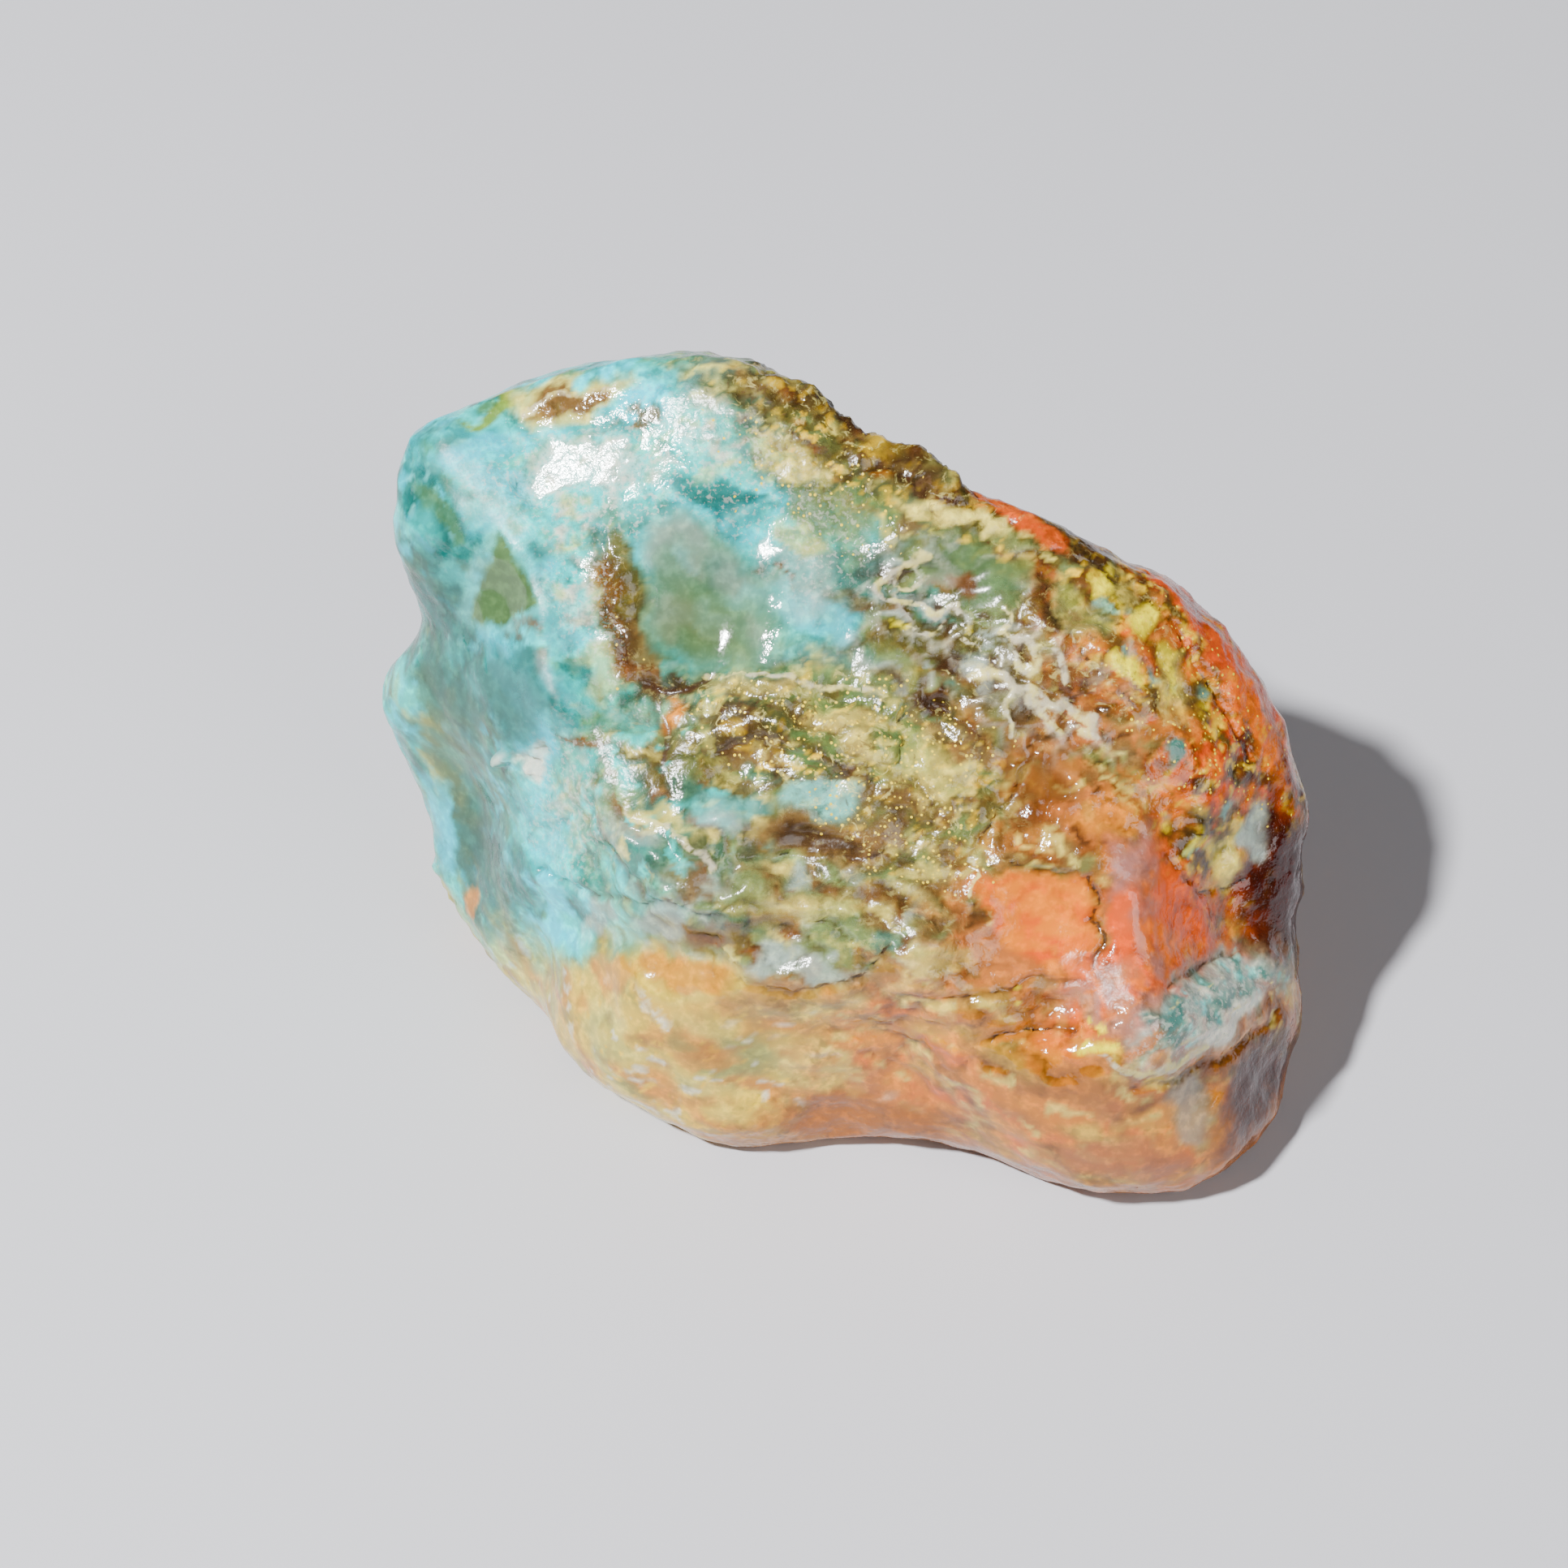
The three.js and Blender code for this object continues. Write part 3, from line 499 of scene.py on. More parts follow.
# Kinds of surface, each with its places: across, uphill, half length, half width, turn, strength.
SURFACES = {
    # smooth and see-through
    "glassy": (
        (-4.4, 4.9, 2.2, 2.5, -35, 1.0),
        (-10.5, 4.7, 1.0, 1.5, 14, 1.0),
        (-9.9, 1.7, 1.4, 1.7, 20, 0.9),
        (-4.1, 7.8, 1.1, 0.6, -10, 0.9),
        (4.0, 5.5, 1.7, 0.9, -12, 0.7),
        (-12.0, 7.0, 2.4, 3.2, 0, 0.5),
        (-6.0, -8.6, 5.0, 3.4, -10, 0.6),
        (7.0, -11.4, 6.5, 2.6, -10, 0.5),
        (-12.6, -1.0, 2.0, 4.6, 0, 0.6),
        (-1.0, -2.7, 1.2, 0.6, 0, 0.6),
        (-3.6, -2.2, 0.8, 0.8, 0, 0.6),
    ),
    # smooth, with less grain
    "calm": (
        (-8.1, 8.6, 2.4, 1.4, 10, 1.0),
        (-1.6, 5.9, 1.3, 0.7, 0, 0.8),
        (6.2, -5.4, 1.9, 1.6, -20, 0.6),
        (9.2, -4.6, 1.2, 2.6, 0, 0.5),
        (6.1, -0.8, 1.4, 1.2, -30, 0.6),
    ),
    # rough
    "crust": (
        (-1.0, 10.0, 3.6, 1.8, -25, 1.0),
        (3.4, 7.8, 2.6, 1.0, -25, 0.9),
        (-7.0, 4.0, 0.8, 2.6, 8, 0.8),
        (-1.4, 0.6, 5.0, 1.7, -4, 1.0),
        (1.6, -1.8, 3.6, 2.0, -20, 1.0),
        (6.6, 2.6, 3.0, 2.2, -20, 0.8),
        (10.6, 2.4, 2.2, 5.0, 40, 0.45),
        (1.0, -4.6, 3.6, 1.6, -5, 0.5),
    ),
    # sugary pale grains
    "frost": (
        (-7.6, 8.4, 3.8, 1.7, 0, 1.0),
        (-4.6, 9.0, 3.4, 1.8, -20, 0.7),
        (-8.2, 5.2, 0.9, 3.0, 14, 0.8),
        (-8.6, -1.6, 1.4, 2.4, 10, 0.6),
        (-1.6, 6.6, 2.4, 1.6, -30, 0.6),
        (11.4, -8.2, 2.6, 0.8, 24, 0.8),
    ),
    # thin winding ropes
    "swirl": (
        (3.4, 4.2, 4.4, 2.2, -14, 1.0),
        (6.4, 1.6, 2.6, 1.8, -30, 1.0),
    ),
    # wax-like folds
    "folds": (
        (-1.0, -5.2, 5.0, 2.6, -6, 1.0),
        (4.6, -8.6, 4.4, 1.8, -6, 1.0),
        (-7.0, -3.2, 2.8, 1.6, -20, 0.9),
        (7.0, -2.0, 2.6, 1.8, -20, 0.5),
    ),
    # more golden grains, which are also painted bright as tiny glints
    "gold": (
        (0.0, 0.4, 5.4, 2.0, -6, 1.0),
        (2.0, -2.0, 3.8, 2.2, -25, 1.0),
        (-1.0, 8.6, 4.6, 2.4, -25, 0.7),
        (10.8, 1.2, 2.4, 5.0, 38, 0.8),
        (-6.8, 3.0, 1.0, 2.0, 0, 0.6),
        (1.0, -5.4, 5.4, 2.2, -8, 0.35),
        (-8.0, 8.6, 3.4, 1.8, -5, 0.4),
    ),
    # less gloss
    "dull": (
        (-11.4, 8.2, 2.6, 1.1, -50, 1.0),
        (-6.4, -0.2, 1.8, 2.0, 0, 0.5),
        (-2.6, 10.0, 3.0, 1.6, -20, 0.35),
        (-9.3, 3.4, 0.9, 2.6, 8, 1.0),
        (3.2, 4.2, 4.8, 3.0, -14, 0.3),
        (7.8, -7.2, 1.4, 0.8, 0, 0.9),
        (-2.0, -4.6, 6.0, 3.0, -6, 0.3),
    ),
    # a little see-through
    "glow": (
        (6.4, -5.2, 2.6, 2.3, -20, 1.0),
        (11.0, -4.6, 3.2, 3.6, 0, 0.6),
        (12.6, 0.6, 2.0, 5.4, 25, 0.6),
        (6.0, -11.6, 7.0, 2.2, -8, 0.5),
    ),
}


# ---------------------------------------------------------------- settings

def distance_setting(name, about, size):
    return FloatProperty(name=name, description=about, default=size * MM, unit="LENGTH")


def colour_setting(name, about, hex_code):
    return FloatVectorProperty(
        name=name, description=about, default=tone(hex_code), subtype="COLOR", size=3, min=0, max=1
    )


class AmberSurface(bpy.types.PropertyGroup):
    """Sizes of the relief that is raised on the solid."""

    mesh_step: distance_setting("Mesh step", "Distance between points of the fine mesh", 0.166)
    crust_height: distance_setting("Crust height", "How high the rough crust stands", 0.17)
    ripple_height: distance_setting("Ripple height", "Gentle waves over the whole skin", 0.11)
    pebble_height: distance_setting("Pebble height", "Fine lumps that break up the gloss", 0.035)
    fold_height: distance_setting("Fold height", "Height of the wax-like folds", 0.2)
    swirl_height: distance_setting("Swirl height", "Height of the pale ropy swirls", 0.12)
    smoothing: IntProperty(name="Smoothing", description="Rounds of smoothing", default=4, min=0)


class AmberColours(bpy.types.PropertyGroup):
    """The palette of the skin."""

    depth: FloatProperty(
        name="Depth", description="Above 1 deepens every colour", default=1.42, min=0.5, max=3
    )
    turquoise: colour_setting("Turquoise", "Blue-green end of the stone", "0CECE8")
    sky: colour_setting("Sky blue", "Brightest blue patches", "00ECFF")
    teal: colour_setting("Teal", "Smooth dark blue-green", "48948C")
    deep_teal: colour_setting("Deep teal", "Darkest blue-green", "34746C")
    ice: colour_setting("Ice", "Palest blue-green grains", "98F4F0")
    moss: colour_setting("Moss", "Grey-green ground colour", "8E9E6C")
    clay: colour_setting("Clay", "Pinkish brown crust", "93784E")
    kelp_green: colour_setting("Kelp green", "Green in the brown crust", "76905E")
    olive: colour_setting("Olive", "Olive green crust", "746C3A")
    window: colour_setting("Window", "Large clear window", "86B89C")
    olive_glass: colour_setting("Olive glass", "Olive clear windows", "8C9858")
    green_glass: colour_setting("Green glass", "Green clear window", "7C9C70")
    lime: colour_setting("Lime", "Yellow-green tint near the crest", "98AC4A")
    cream: colour_setting("Cream", "Pale granular crust", "F2E488")
    white: colour_setting("White", "Pale ropy swirls", "F2F0E2")
    sulphur: colour_setting("Sulphur", "Bright yellow flecks", "FFF008")
    gold: colour_setting("Gold", "Fine golden grains", "FFDC38")
    honey: colour_setting("Honey", "Pale yellow lower wall", "F0D45C")
    tan: colour_setting("Tan", "Pinkish tan skin", "C48C44")
    amber: colour_setting("Amber", "Amber yellow patches", "EAA026")
    resin: colour_setting("Resin", "Clear amber at the foot", "C08014")
    orange: colour_setting("Orange", "Glowing orange hollow", "F28E08")
    flame: colour_setting("Flame", "Lightest orange", "F8A41A")
    blush: colour_setting("Blush", "Pinkish translucent skin", "CE8A50")
    ember: colour_setting("Ember", "Red-orange rim", "EE741C")
    wine: colour_setting("Wine", "Deep red edge", "5A200A")
    mauve: colour_setting("Mauve", "Pink-grey bands", "C4948A")
    rust: colour_setting("Rust", "Rusty stains", "8A5C30")
    brown: colour_setting("Brown", "Dark brown in pits and cracks", "5C422A")
    crack: colour_setting("Crack", "Darkest brown, down in the cracks", "40291A")
    rope: colour_setting("Rope", "Raised ropes and outlines", "D4CBAC")
    slate: colour_setting("Slate", "Blue-grey lumps", "BCCAC2")


class AmberStage(bpy.types.PropertyGroup):
    """Camera, lights and floor."""

    elevation: FloatProperty(
        name="Camera elevation", description="Camera above the level", default=math.radians(50),
        subtype="ANGLE",
    )
    lens: FloatProperty(
        name="Lens", description="Focal length", default=100, subtype="DISTANCE_CAMERA"
    )
    distance: FloatProperty(
        name="Camera distance", description="In lengths of the stone", default=4.637, min=1
    )
    key_power: FloatProperty(name="Key light", description="Main soft light", default=2.25, unit="POWER")
    fill_power: FloatProperty(name="Fill light", description="Wide fill", default=0.5, unit="POWER")
    sky_strength: FloatProperty(name="Surroundings", description="Even light all round", default=0.07)
    floor_colour: colour_setting("Floor", "Plain pale floor", "CDCDD3")


# ---------------------------------------------------------------- noise

LATTICE = np.random.default_rng(7).normal(size=(512, 3))
LATTICE /= np.linalg.norm(LATTICE, axis=1)[:, None]
HASH_STEPS = np.array((73856093, 19349663, 83492791))


def soft_noise(points, lump, seed=0):
    """Smooth noise from about -1 to 1, with lumps of the given size."""
    scaled = points / lump + 17.3 * seed
    cell = np.floor(scaled).astype(np.int64)
    part = scaled - cell
    ease = part ** 3 * (part * (part * 6 - 15) + 10)
    total = np.zeros(len(points))
    for corner in itertools.product((0, 1), repeat=3):
        place = (cell + corner) * HASH_STEPS
        gradient = LATTICE[(place[:, 0] ^ place[:, 1] ^ place[:, 2]) % len(LATTICE)]
        weight = np.prod(np.where(corner, ease, 1 - ease), axis=1)
        total += weight * np.sum(gradient * (part - corner), axis=1)
    return total * 1.7


def layered_noise(points, lump, seed=0, layers=3):
    """Smooth noise with finer and fainter layers over it."""
    return sum(soft_noise(points, lump / 2 ** i, seed + i) / 1.8 ** i for i in range(layers))


def crease_noise(points, lump, seed=0):
    """Rounded lumps that meet in sharp creases, from about -1 to 1."""
    return 2 * np.abs(soft_noise(points, lump, seed)) ** 0.8 - 0.6


def smooth_step(low, high, values):
    """0 at low, 1 at high and a smooth rise between. It falls where low is above high."""
    t = np.clip((values - low) / (high - low), 0, 1)
    return t * t * (3 - 2 * t)


# ---------------------------------------------------------------- the skin as fields

class Skin:
    """Every point of the fine mesh, and what the skin is like there."""

    def __init__(self, mesh):
        self.points = read_vectors(mesh.vertices, "co") / MM
        self.normals = read_vectors(mesh.vertices, "normal")
        place = self.points - np.array(MIDDLE) / MM
        self.across = place @ ACROSS
        self.uphill = place @ UPHILL
        self.out = place @ OUT
        faces_front = smooth_step(-0.35, 0.15, self.normals @ OUT)
        self.front = smooth_step(-7, -4.5, self.out) * faces_front
        wander = [layered_noise(self.points, 1.6, seed) for seed in (1, 2)]
        fine_wander = [soft_noise(self.points, 0.5, seed) for seed in (3, 4)]
        self.warped_across = self.across + 0.45 * wander[0] + 0.12 * fine_wander[0]
        self.warped_uphill = self.uphill + 0.45 * wander[1] + 0.12 * fine_wander[1]
        self.edge_noise = 0.5 * layered_noise(self.points, 0.9, 5)
        # the mottling runs out a little along the slope down to the right
        along = (self.warped_across - 0.5 * self.warped_uphill) / 1.12
        aside = (self.warped_uphill + 0.5 * self.warped_across) / 1.12
        self.flow = np.stack((0.62 * along, aside, self.out), axis=1)

    def mark(self, across, uphill, half_length, half_width, turn, strength):
        """How strongly a soft brush mark covers each point."""
        place = (across, uphill, half_length, half_width, turn)
        reach = self.reach(self.warped_across, self.warped_uphill, *place)
        reach += 0.35 * self.edge_noise
        softness = min(0.5, 0.2 + 0.15 * half_width)
        return strength * self.front * smooth_step(1 + softness, 1 - softness, reach)

    @staticmethod
    def reach(here_across, here_uphill, across, uphill, half_length, half_width, turn):
        """Distance from a centre, with 1 on the edge of a turned ellipse."""
        turn = math.radians(turn)
        dx = here_across - across
        dy = here_uphill - uphill
        lengthwise = (dx * math.cos(turn) + dy * math.sin(turn)) / half_length
        sideways = (dy * math.cos(turn) - dx * math.sin(turn)) / half_width
        return np.hypot(lengthwise, sideways)

    def pane(self, softness, strength, corners):
        """How strongly a pane with the given corners covers each point."""
        here = np.stack((self.warped_across, self.warped_uphill), axis=1) / 2
        here += np.stack((self.across, self.uphill), axis=1) / 2
        inside = np.zeros(len(here), bool)
        edge = np.full(len(here), np.inf)
        for start, end in zip(corners, corners[1:] + corners[:1]):
            start, end = np.array(start), np.array(end)
            step = end - start
            along = np.clip((here - start) @ step / (step @ step), 0, 1)
            away = here - start - along[:, None] * step
            edge = np.minimum(edge, np.hypot(away[:, 0], away[:, 1]))
            crosses = (start[1] > here[:, 1]) != (end[1] > here[:, 1])
            side = (here[:, 0] - start[0]) * step[1] - (here[:, 1] - start[1]) * step[0]
            inside ^= crosses & (side * np.sign(step[1]) < 0)
        signed = np.where(inside, edge, -edge) + 0.3 * softness * self.edge_noise
        return strength * self.front * smooth_step(-softness, softness, signed)

    def line(self, points, half_width):
        """Distance from a line through the points, with 1 at its half width."""
        here = np.stack((self.across + self.warped_across, self.uphill + self.warped_uphill), axis=1) / 2
        nearest = np.full(len(here), np.inf)
        for start, end in zip(points, points[1:]):
            start = np.array(start)
            step = np.array(end) - start
            along = np.clip((here - start) @ step / (step @ step), 0, 1)
            away = here - start - along[:, None] * step
            nearest = np.minimum(nearest, np.hypot(away[:, 0], away[:, 1]))
        return np.minimum(nearest / half_width, 6) * self.front + 6 * (1 - self.front)

    def streaks(self, shade):
        """Nearness of the streaks of one shade: 1 along their middles, 0 from 6 half widths on."""
        nearness = np.zeros(len(self.points))
        for kind, half_width, _, share, places in STREAKS:
            if kind == shade:
                broken = 0.25 * (1 - share) * (1 + 2 * self.edge_noise)
                nearness = np.maximum(nearness, 1 - broken - self.line(places, half_width) / 6)
        return nearness

    def flatten(self, height, relief_left, place, climb):
        """Take the skin up or down to a flat, and leave a little of its relief."""
        climb_across, climb_uphill = climb
        reach = self.reach(self.warped_across, self.warped_uphill, *place)
        climb = climb_across * self.across + climb_uphill * self.uphill
        level = np.median((self.out - climb)[(reach < 1) & (self.front > 0.5)])
        cover = self.front * smooth_step(1.35, 0.95, reach + 0.9 * self.edge_noise)
        flat = relief_left + np.clip(level + climb - self.out, -FLAT_REACH, FLAT_REACH)
        return height * (1 - cover) + flat * cover

    def kind(self, name):
        """How much the skin is of one kind, such as crust or glassy."""
        cover = np.zeros(len(self.points))
        for place in SURFACES[name]:
            cover = np.maximum(cover, self.mark(*place))
        return cover


def read_vectors(items, name):
    """One vector of each item, such as a mesh's points or their normals."""
    values = np.zeros(len(items) * 3, np.float32)
    items.foreach_get(name, values)
    return values.reshape(-1, 3).astype(float)


def back_kinds(skin):
    """The hidden sides have the same kinds of skin, in drifts of their own."""
    hidden = 1 - skin.front
    drift = layered_noise(skin.points, 6.0, 21)
    crust = hidden * smooth_step(-0.05, 0.35, drift)
    glassy = hidden * smooth_step(0.1, -0.3, drift)
    return crust, glassy


def lamp_place(direction, distance):
    """Where a lamp stands, with its distance in lengths of the stone."""
    return MIDDLE + Vector(direction).normalized() * (distance * LENGTH)


def camera_place(stage):
    """Where the camera stands, and the point that it looks at."""
    target = MIDDLE + LENGTH * Vector(CAMERA_AIM)
    back = Vector((0, -math.cos(stage.elevation), math.sin(stage.elevation)))
    return target + back * stage.distance * LENGTH, target


def gleaming_climb(skin, stage, across, uphill):
    """How steeply a flat here climbs, across and uphill, to throw the main light at the camera."""
    away = np.hypot(skin.across - across, skin.uphill - uphill)
    nearest = np.argmin(np.where(skin.front > 0.5, away, np.inf))
    here = Vector(skin.points[nearest] * MM)
    to_light = (lamp_place(KEY_FROM, KEY_DISTANCE) - here).normalized()
    to_camera = (camera_place(stage)[0] - here).normalized()
    facing = np.array(to_light + to_camera)
    return -(facing @ ACROSS) / (facing @ OUT), -(facing @ UPHILL) / (facing @ OUT)


def relief(skin, settings, stage):
    """Height of the fine relief over the solid, in millimetres, and the kinds of skin."""
    back_crust, back_glassy = back_kinds(skin)
    windows = np.max([skin.pane(*place) for name, *place in PANES if "glass" in name], axis=0)
    glassy = np.maximum(skin.kind("glassy"), back_glassy)
    crust = np.maximum(skin.kind("crust"), back_crust) * (1 - 0.9 * skin.kind("glassy"))
    calm = np.maximum(glassy, skin.kind("calm"))
    swirl = skin.kind("swirl")
    folds = skin.kind("folds")
    points = skin.points

    ripples = soft_noise(points, 1.9, 31) + 0.5 * soft_noise(points, 0.9, 32)
    crags = crease_noise(skin.flow, 1.4, 33) - 0.5 * crease_noise(skin.flow, 0.8, 34)
    crags += 0.4 * crease_noise(points, 0.5, 35)
    draped = skin.flow * (0.6, 1.0, 0.5)
    drapery = crease_noise(draped, 1.1, 36) + 0.4 * crease_noise(draped, 0.5, 37)
    ropes = smooth_step(0.16, 0.03, np.abs(soft_noise(points, 1.0, 38)))
    ropes *= smooth_step(-0.3, 0.2, soft_noise(points, 1.6, 39))

    height = settings.ripple_height / MM * ripples * (1 - 0.75 * calm)
    height += settings.pebble_height / MM * soft_noise(points, 0.6, 40) * (1 - 0.8 * calm)
    height += settings.crust_height / MM * crust * crags
    height += settings.fold_height / MM * folds * drapery
    height += settings.swirl_height / MM * swirl * ropes
    for across, uphill, half_length, half_width, turn, rise in LUMPS:
        reach = skin.reach(skin.across, skin.uphill, across, uphill, half_length, half_width, turn)
        height += rise * skin.front * np.clip(1 - reach ** 2, 0, 1) ** 2
    # a flat keeps low lumps, so that its gleam breaks up
    relief_left = 0.2 * height + 0.03 * soft_noise(points, 0.7, 44)
    for place in GLEAMING_FLATS:
        climb = gleaming_climb(skin, stage, *place[:2])
        height = skin.flatten(height, relief_left, place, climb)
    height = skin.flatten(height, relief_left, QUIET_FLAT, QUIET_CLIMB)
    # the low places of the crust and the folds, where paint() lays painted shade
    hollow = smooth_step(-0.1, -0.75, crags) * crust + smooth_step(-0.2, -0.7, drapery) * folds
    for _, half_width, rise, _, places in STREAKS:
        height += rise * np.exp(-0.5 * skin.line(places, half_width) ** 2)
    kinds = {
        "crust": crust,
        "glassy": glassy,
        "calm": calm,
        "hollow": np.clip(hollow, 0, 1),
        "swirl": swirl * ropes,
        "frost": skin.kind("frost") * (1 - windows),
        "dull": skin.kind("dull") * (1 - windows),
        "dark": skin.streaks("dark"),
        "pale": skin.streaks("pale"),
        "gold": np.maximum(skin.kind("gold"), 0.6 * back_crust),
        "glow": np.maximum(skin.kind("glow"), (1 - skin.front) * smooth_step(4, 12, skin.across)),
    }
    return height, kinds


def ground_tint(skin, mixed):
    """The body colour, from blue-green at the left to orange at the right, all round."""
    drift = skin.across + 3.0 * layered_noise(skin.points, 5.0, 41)
    low = (LOW.z / MM + 6 - skin.points[:, 2]) / 6 + 0.5 * layered_noise(skin.points, 3.0, 42)
    spread = layered_noise(skin.points, 3.4, 43)
    tint = mixed["draped"]
    for name, cover in (
        ("shore", smooth_step(-3, -7, drift)),
        ("thicket", smooth_step(0.0, 0.3, spread) * (1 - skin.front)),
        ("flesh", smooth_step(3, 6, drift)),
        ("embers", smooth_step(8, 11, drift) * (1 - skin.front)),
        ("wall", 0.9 * smooth_step(0.2, 0.8, low) * smooth_step(6, 2, drift)),
        ("lobe", 0.9 * smooth_step(0.2, 0.8, low) * smooth_step(2, 6, drift)),
    ):
        tint = lay(tint, mixed[name], cover)
    return tint


def lay(tint, colour, cover):
    """Lay a colour over the tint, by how strongly it covers each point."""
    cover = cover[:, None]
    return tint * (1 - cover) + np.asarray(colour) * cover


def mixture(skin, colours, name):
    """A mottled colour over the whole skin."""
    ground, *spots = MIXTURES[name]
    tint = np.tile(np.array(getattr(colours, ground)), (len(skin.points), 1))
    for seed, (colour, size, share, softness, strength) in enumerate(spots):
        field = layered_noise(skin.flow, size, 3 * seed + 11 * len(name) + 60, 2)
        edge = np.quantile(field, 1 - share)
        cover = smooth_step(edge - softness / 2, edge + softness / 2, field)
        tint = lay(tint, getattr(colours, colour), strength * cover)
    return tint


def paint(skin, colours, kinds):
    """The skin's colour at each point, with painted shade in its hollows, before the fine grain that the
    material adds.
    """
    mixed = {name: mixture(skin, colours, name) for name in MIXTURES}

    def shade(name):
        return mixed[name] if name in mixed else getattr(colours, name)

    tint = ground_tint(skin, mixed)
    for name, *place in PATCHES:
        tint = lay(tint, shade(name), skin.mark(*place))
    for name, *place in PANES:
        tint = lay(tint, shade(name), skin.pane(*place))
    tint = lay(tint, colours.white, 0.35 * kinds["swirl"])
    # brown along the dark streaks: cracks and veins, and the painted shadow lines under the ledge and the
    # lump
    tint = lay(tint, colours.brown, 0.5 * smooth_step(0.6, 0.9, kinds["dark"]))
    # painted shade: brown over the low places of the crust and the folds
    tint = lay(tint, colours.brown, 0.55 * kinds["hollow"])
    low = (LOW.z / MM + 2.4 - skin.points[:, 2]) / 1.8 + 0.3 * skin.edge_noise
    tint = lay(tint, colours.resin, 0.85 * smooth_step(0, 1, low) * smooth_step(-7, -2, skin.across))
    return tint ** colours.depth


# ---------------------------------------------------------------- material

# What the mesh tells the material about each point.
KINDS = ("crust", "glassy", "calm", "frost", "dull", "dark", "pale", "gold", "glow")

# Textures of the skin: size of the lumps in millimetres, layers, roughness and distortion.
TEXTURES = {
    "broad": (0.9, 3, 0.6, 0.4),
    "fine": (0.3, 2, 0.5, 0.0),
    "grain": (0.09, 2, 0.6, 0.0),
    "lace": (0.42, 4, 0.7, 0.8),
    "sugar": (0.17, 2, 0.6, 0.0),
}
FLECKS_PER_MM = 6.0

# What the tint is multiplied by where the mottling is lightest and darkest.
LIGHTER = (1.6, 1.56, 1.4, 1.0)
DARKER = (0.42, 0.45, 0.42, 1.0)

# Heights of the finest bumps in millimetres.
ROUGH_BUMP, CALM_BUMP, SUGAR_BUMP = 0.055, 0.01, 0.016


class Graph:
    """Short names for adding shader nodes and joining them."""

    def __init__(self, tree):
        self.tree = tree

    def node(self, kind, inputs=(), **options):
        """Add a node, set its options, and join or set its inputs."""
        node = self.tree.nodes.new(kind)
        for name, value in options.items():
            setattr(node, name, value)
        for name, value in dict(inputs).items():
            if isinstance(value, bpy.types.NodeSocket):
                self.tree.links.new(value, node.inputs[name])
            else:
                node.inputs[name].default_value = value
        return node

    def attribute(self, name):
        """A number that is stored for each point of the mesh."""
        return self.node("ShaderNodeAttribute", attribute_name=name).outputs["Fac"]

    def maths(self, operation, first, second=0.0, clamp=False):
        node = self.node("ShaderNodeMath", {0: first, 1: second}, operation=operation, use_clamp=clamp)
        return node.outputs[0]

    def times(self, first, second, clamp=False):
        return self.maths("MULTIPLY", first, second, clamp)

    def plus(self, first, second):
        return self.maths("ADD", first, second)

    def ramp(self, value, low, high, to_low=0.0, to_high=1.0):
        """A smooth rise from to_low, where value is low, to to_high, where it is high."""
        inputs = {"Value": value, "From Min": low, "From Max": high, "To Min": to_low, "To Max": to_high}
        return self.node("ShaderNodeMapRange", inputs, interpolation_type="SMOOTHSTEP").outputs[0]

    def mix(self, cover, below, above, blend="MIX"):
        """One colour laid over another."""
        node = self.node("ShaderNodeMix", data_type="RGBA", blend_type=blend, clamp_factor=True)
        for socket, value in ((0, cover), (6, below), (7, above)):
            if isinstance(value, bpy.types.NodeSocket):
                self.tree.links.new(value, node.inputs[socket])
            else:
                node.inputs[socket].default_value = value
        return node.outputs[2]

    def noise(self, place, lump, detail, roughness=0.5, distortion=0.0):
        """Smooth noise from 0 to 1 with lumps of the given size."""
        inputs = {
            "Vector": place, "Scale": 1 / lump, "Detail": detail,
            "Roughness": roughness, "Distortion": distortion,
        }
        return self.node("ShaderNodeTexNoise", inputs).outputs[0]


def opaque(colour):
    """A colour as shader nodes take it."""
    return (*colour, 1.0)


def mottled(g, kinds, textures):
    """The painted tint, mottled lighter and darker at two sizes."""
    tint = g.node("ShaderNodeAttribute", attribute_name="tint").outputs["Color"]
    lighter = g.mix(1.0, tint, LIGHTER, "MULTIPLY")
    darker = g.mix(1.0, tint, DARKER, "MULTIPLY")
    rough_share = g.ramp(kinds["calm"], 0.0, 1.0, 1.0, 0.25)
    dark_cover = g.times(g.ramp(textures["broad"], 0.5, 0.3), rough_share)
    light_cover = g.times(g.ramp(textures["fine"], 0.46, 0.72), rough_share)
    colour = g.mix(g.times(dark_cover, 0.8), tint, darker)
    return g.mix(g.times(light_cover, 0.7), colour, lighter)


def with_lace(g, colour, kinds, textures, colours):
    """Lace of cream and brown in the crust."""
    lace = textures["lace"]
    cream_cover = g.times(g.ramp(lace, 0.55, 0.66), kinds["crust"])
    brown_cover = g.times(g.ramp(lace, 0.44, 0.33), kinds["crust"])
    colour = g.mix(g.times(cream_cover, 0.45), colour, opaque(colours.cream))
    return g.mix(g.times(brown_cover, 0.7), colour, opaque(colours.brown))


def with_sugar(g, colour, kinds, textures, colours):
    """Pale sugary grains, with teal between them."""
    sugar = textures["sugar"]
    sugar_cover = g.times(g.ramp(sugar, 0.52, 0.64), kinds["frost"])
    shade_cover = g.times(g.ramp(sugar, 0.46, 0.34), kinds["frost"])
    colour = g.mix(g.times(sugar_cover, 0.45), colour, opaque(colours.white))
    return g.mix(g.times(shade_cover, 0.5), colour, opaque(colours.teal))


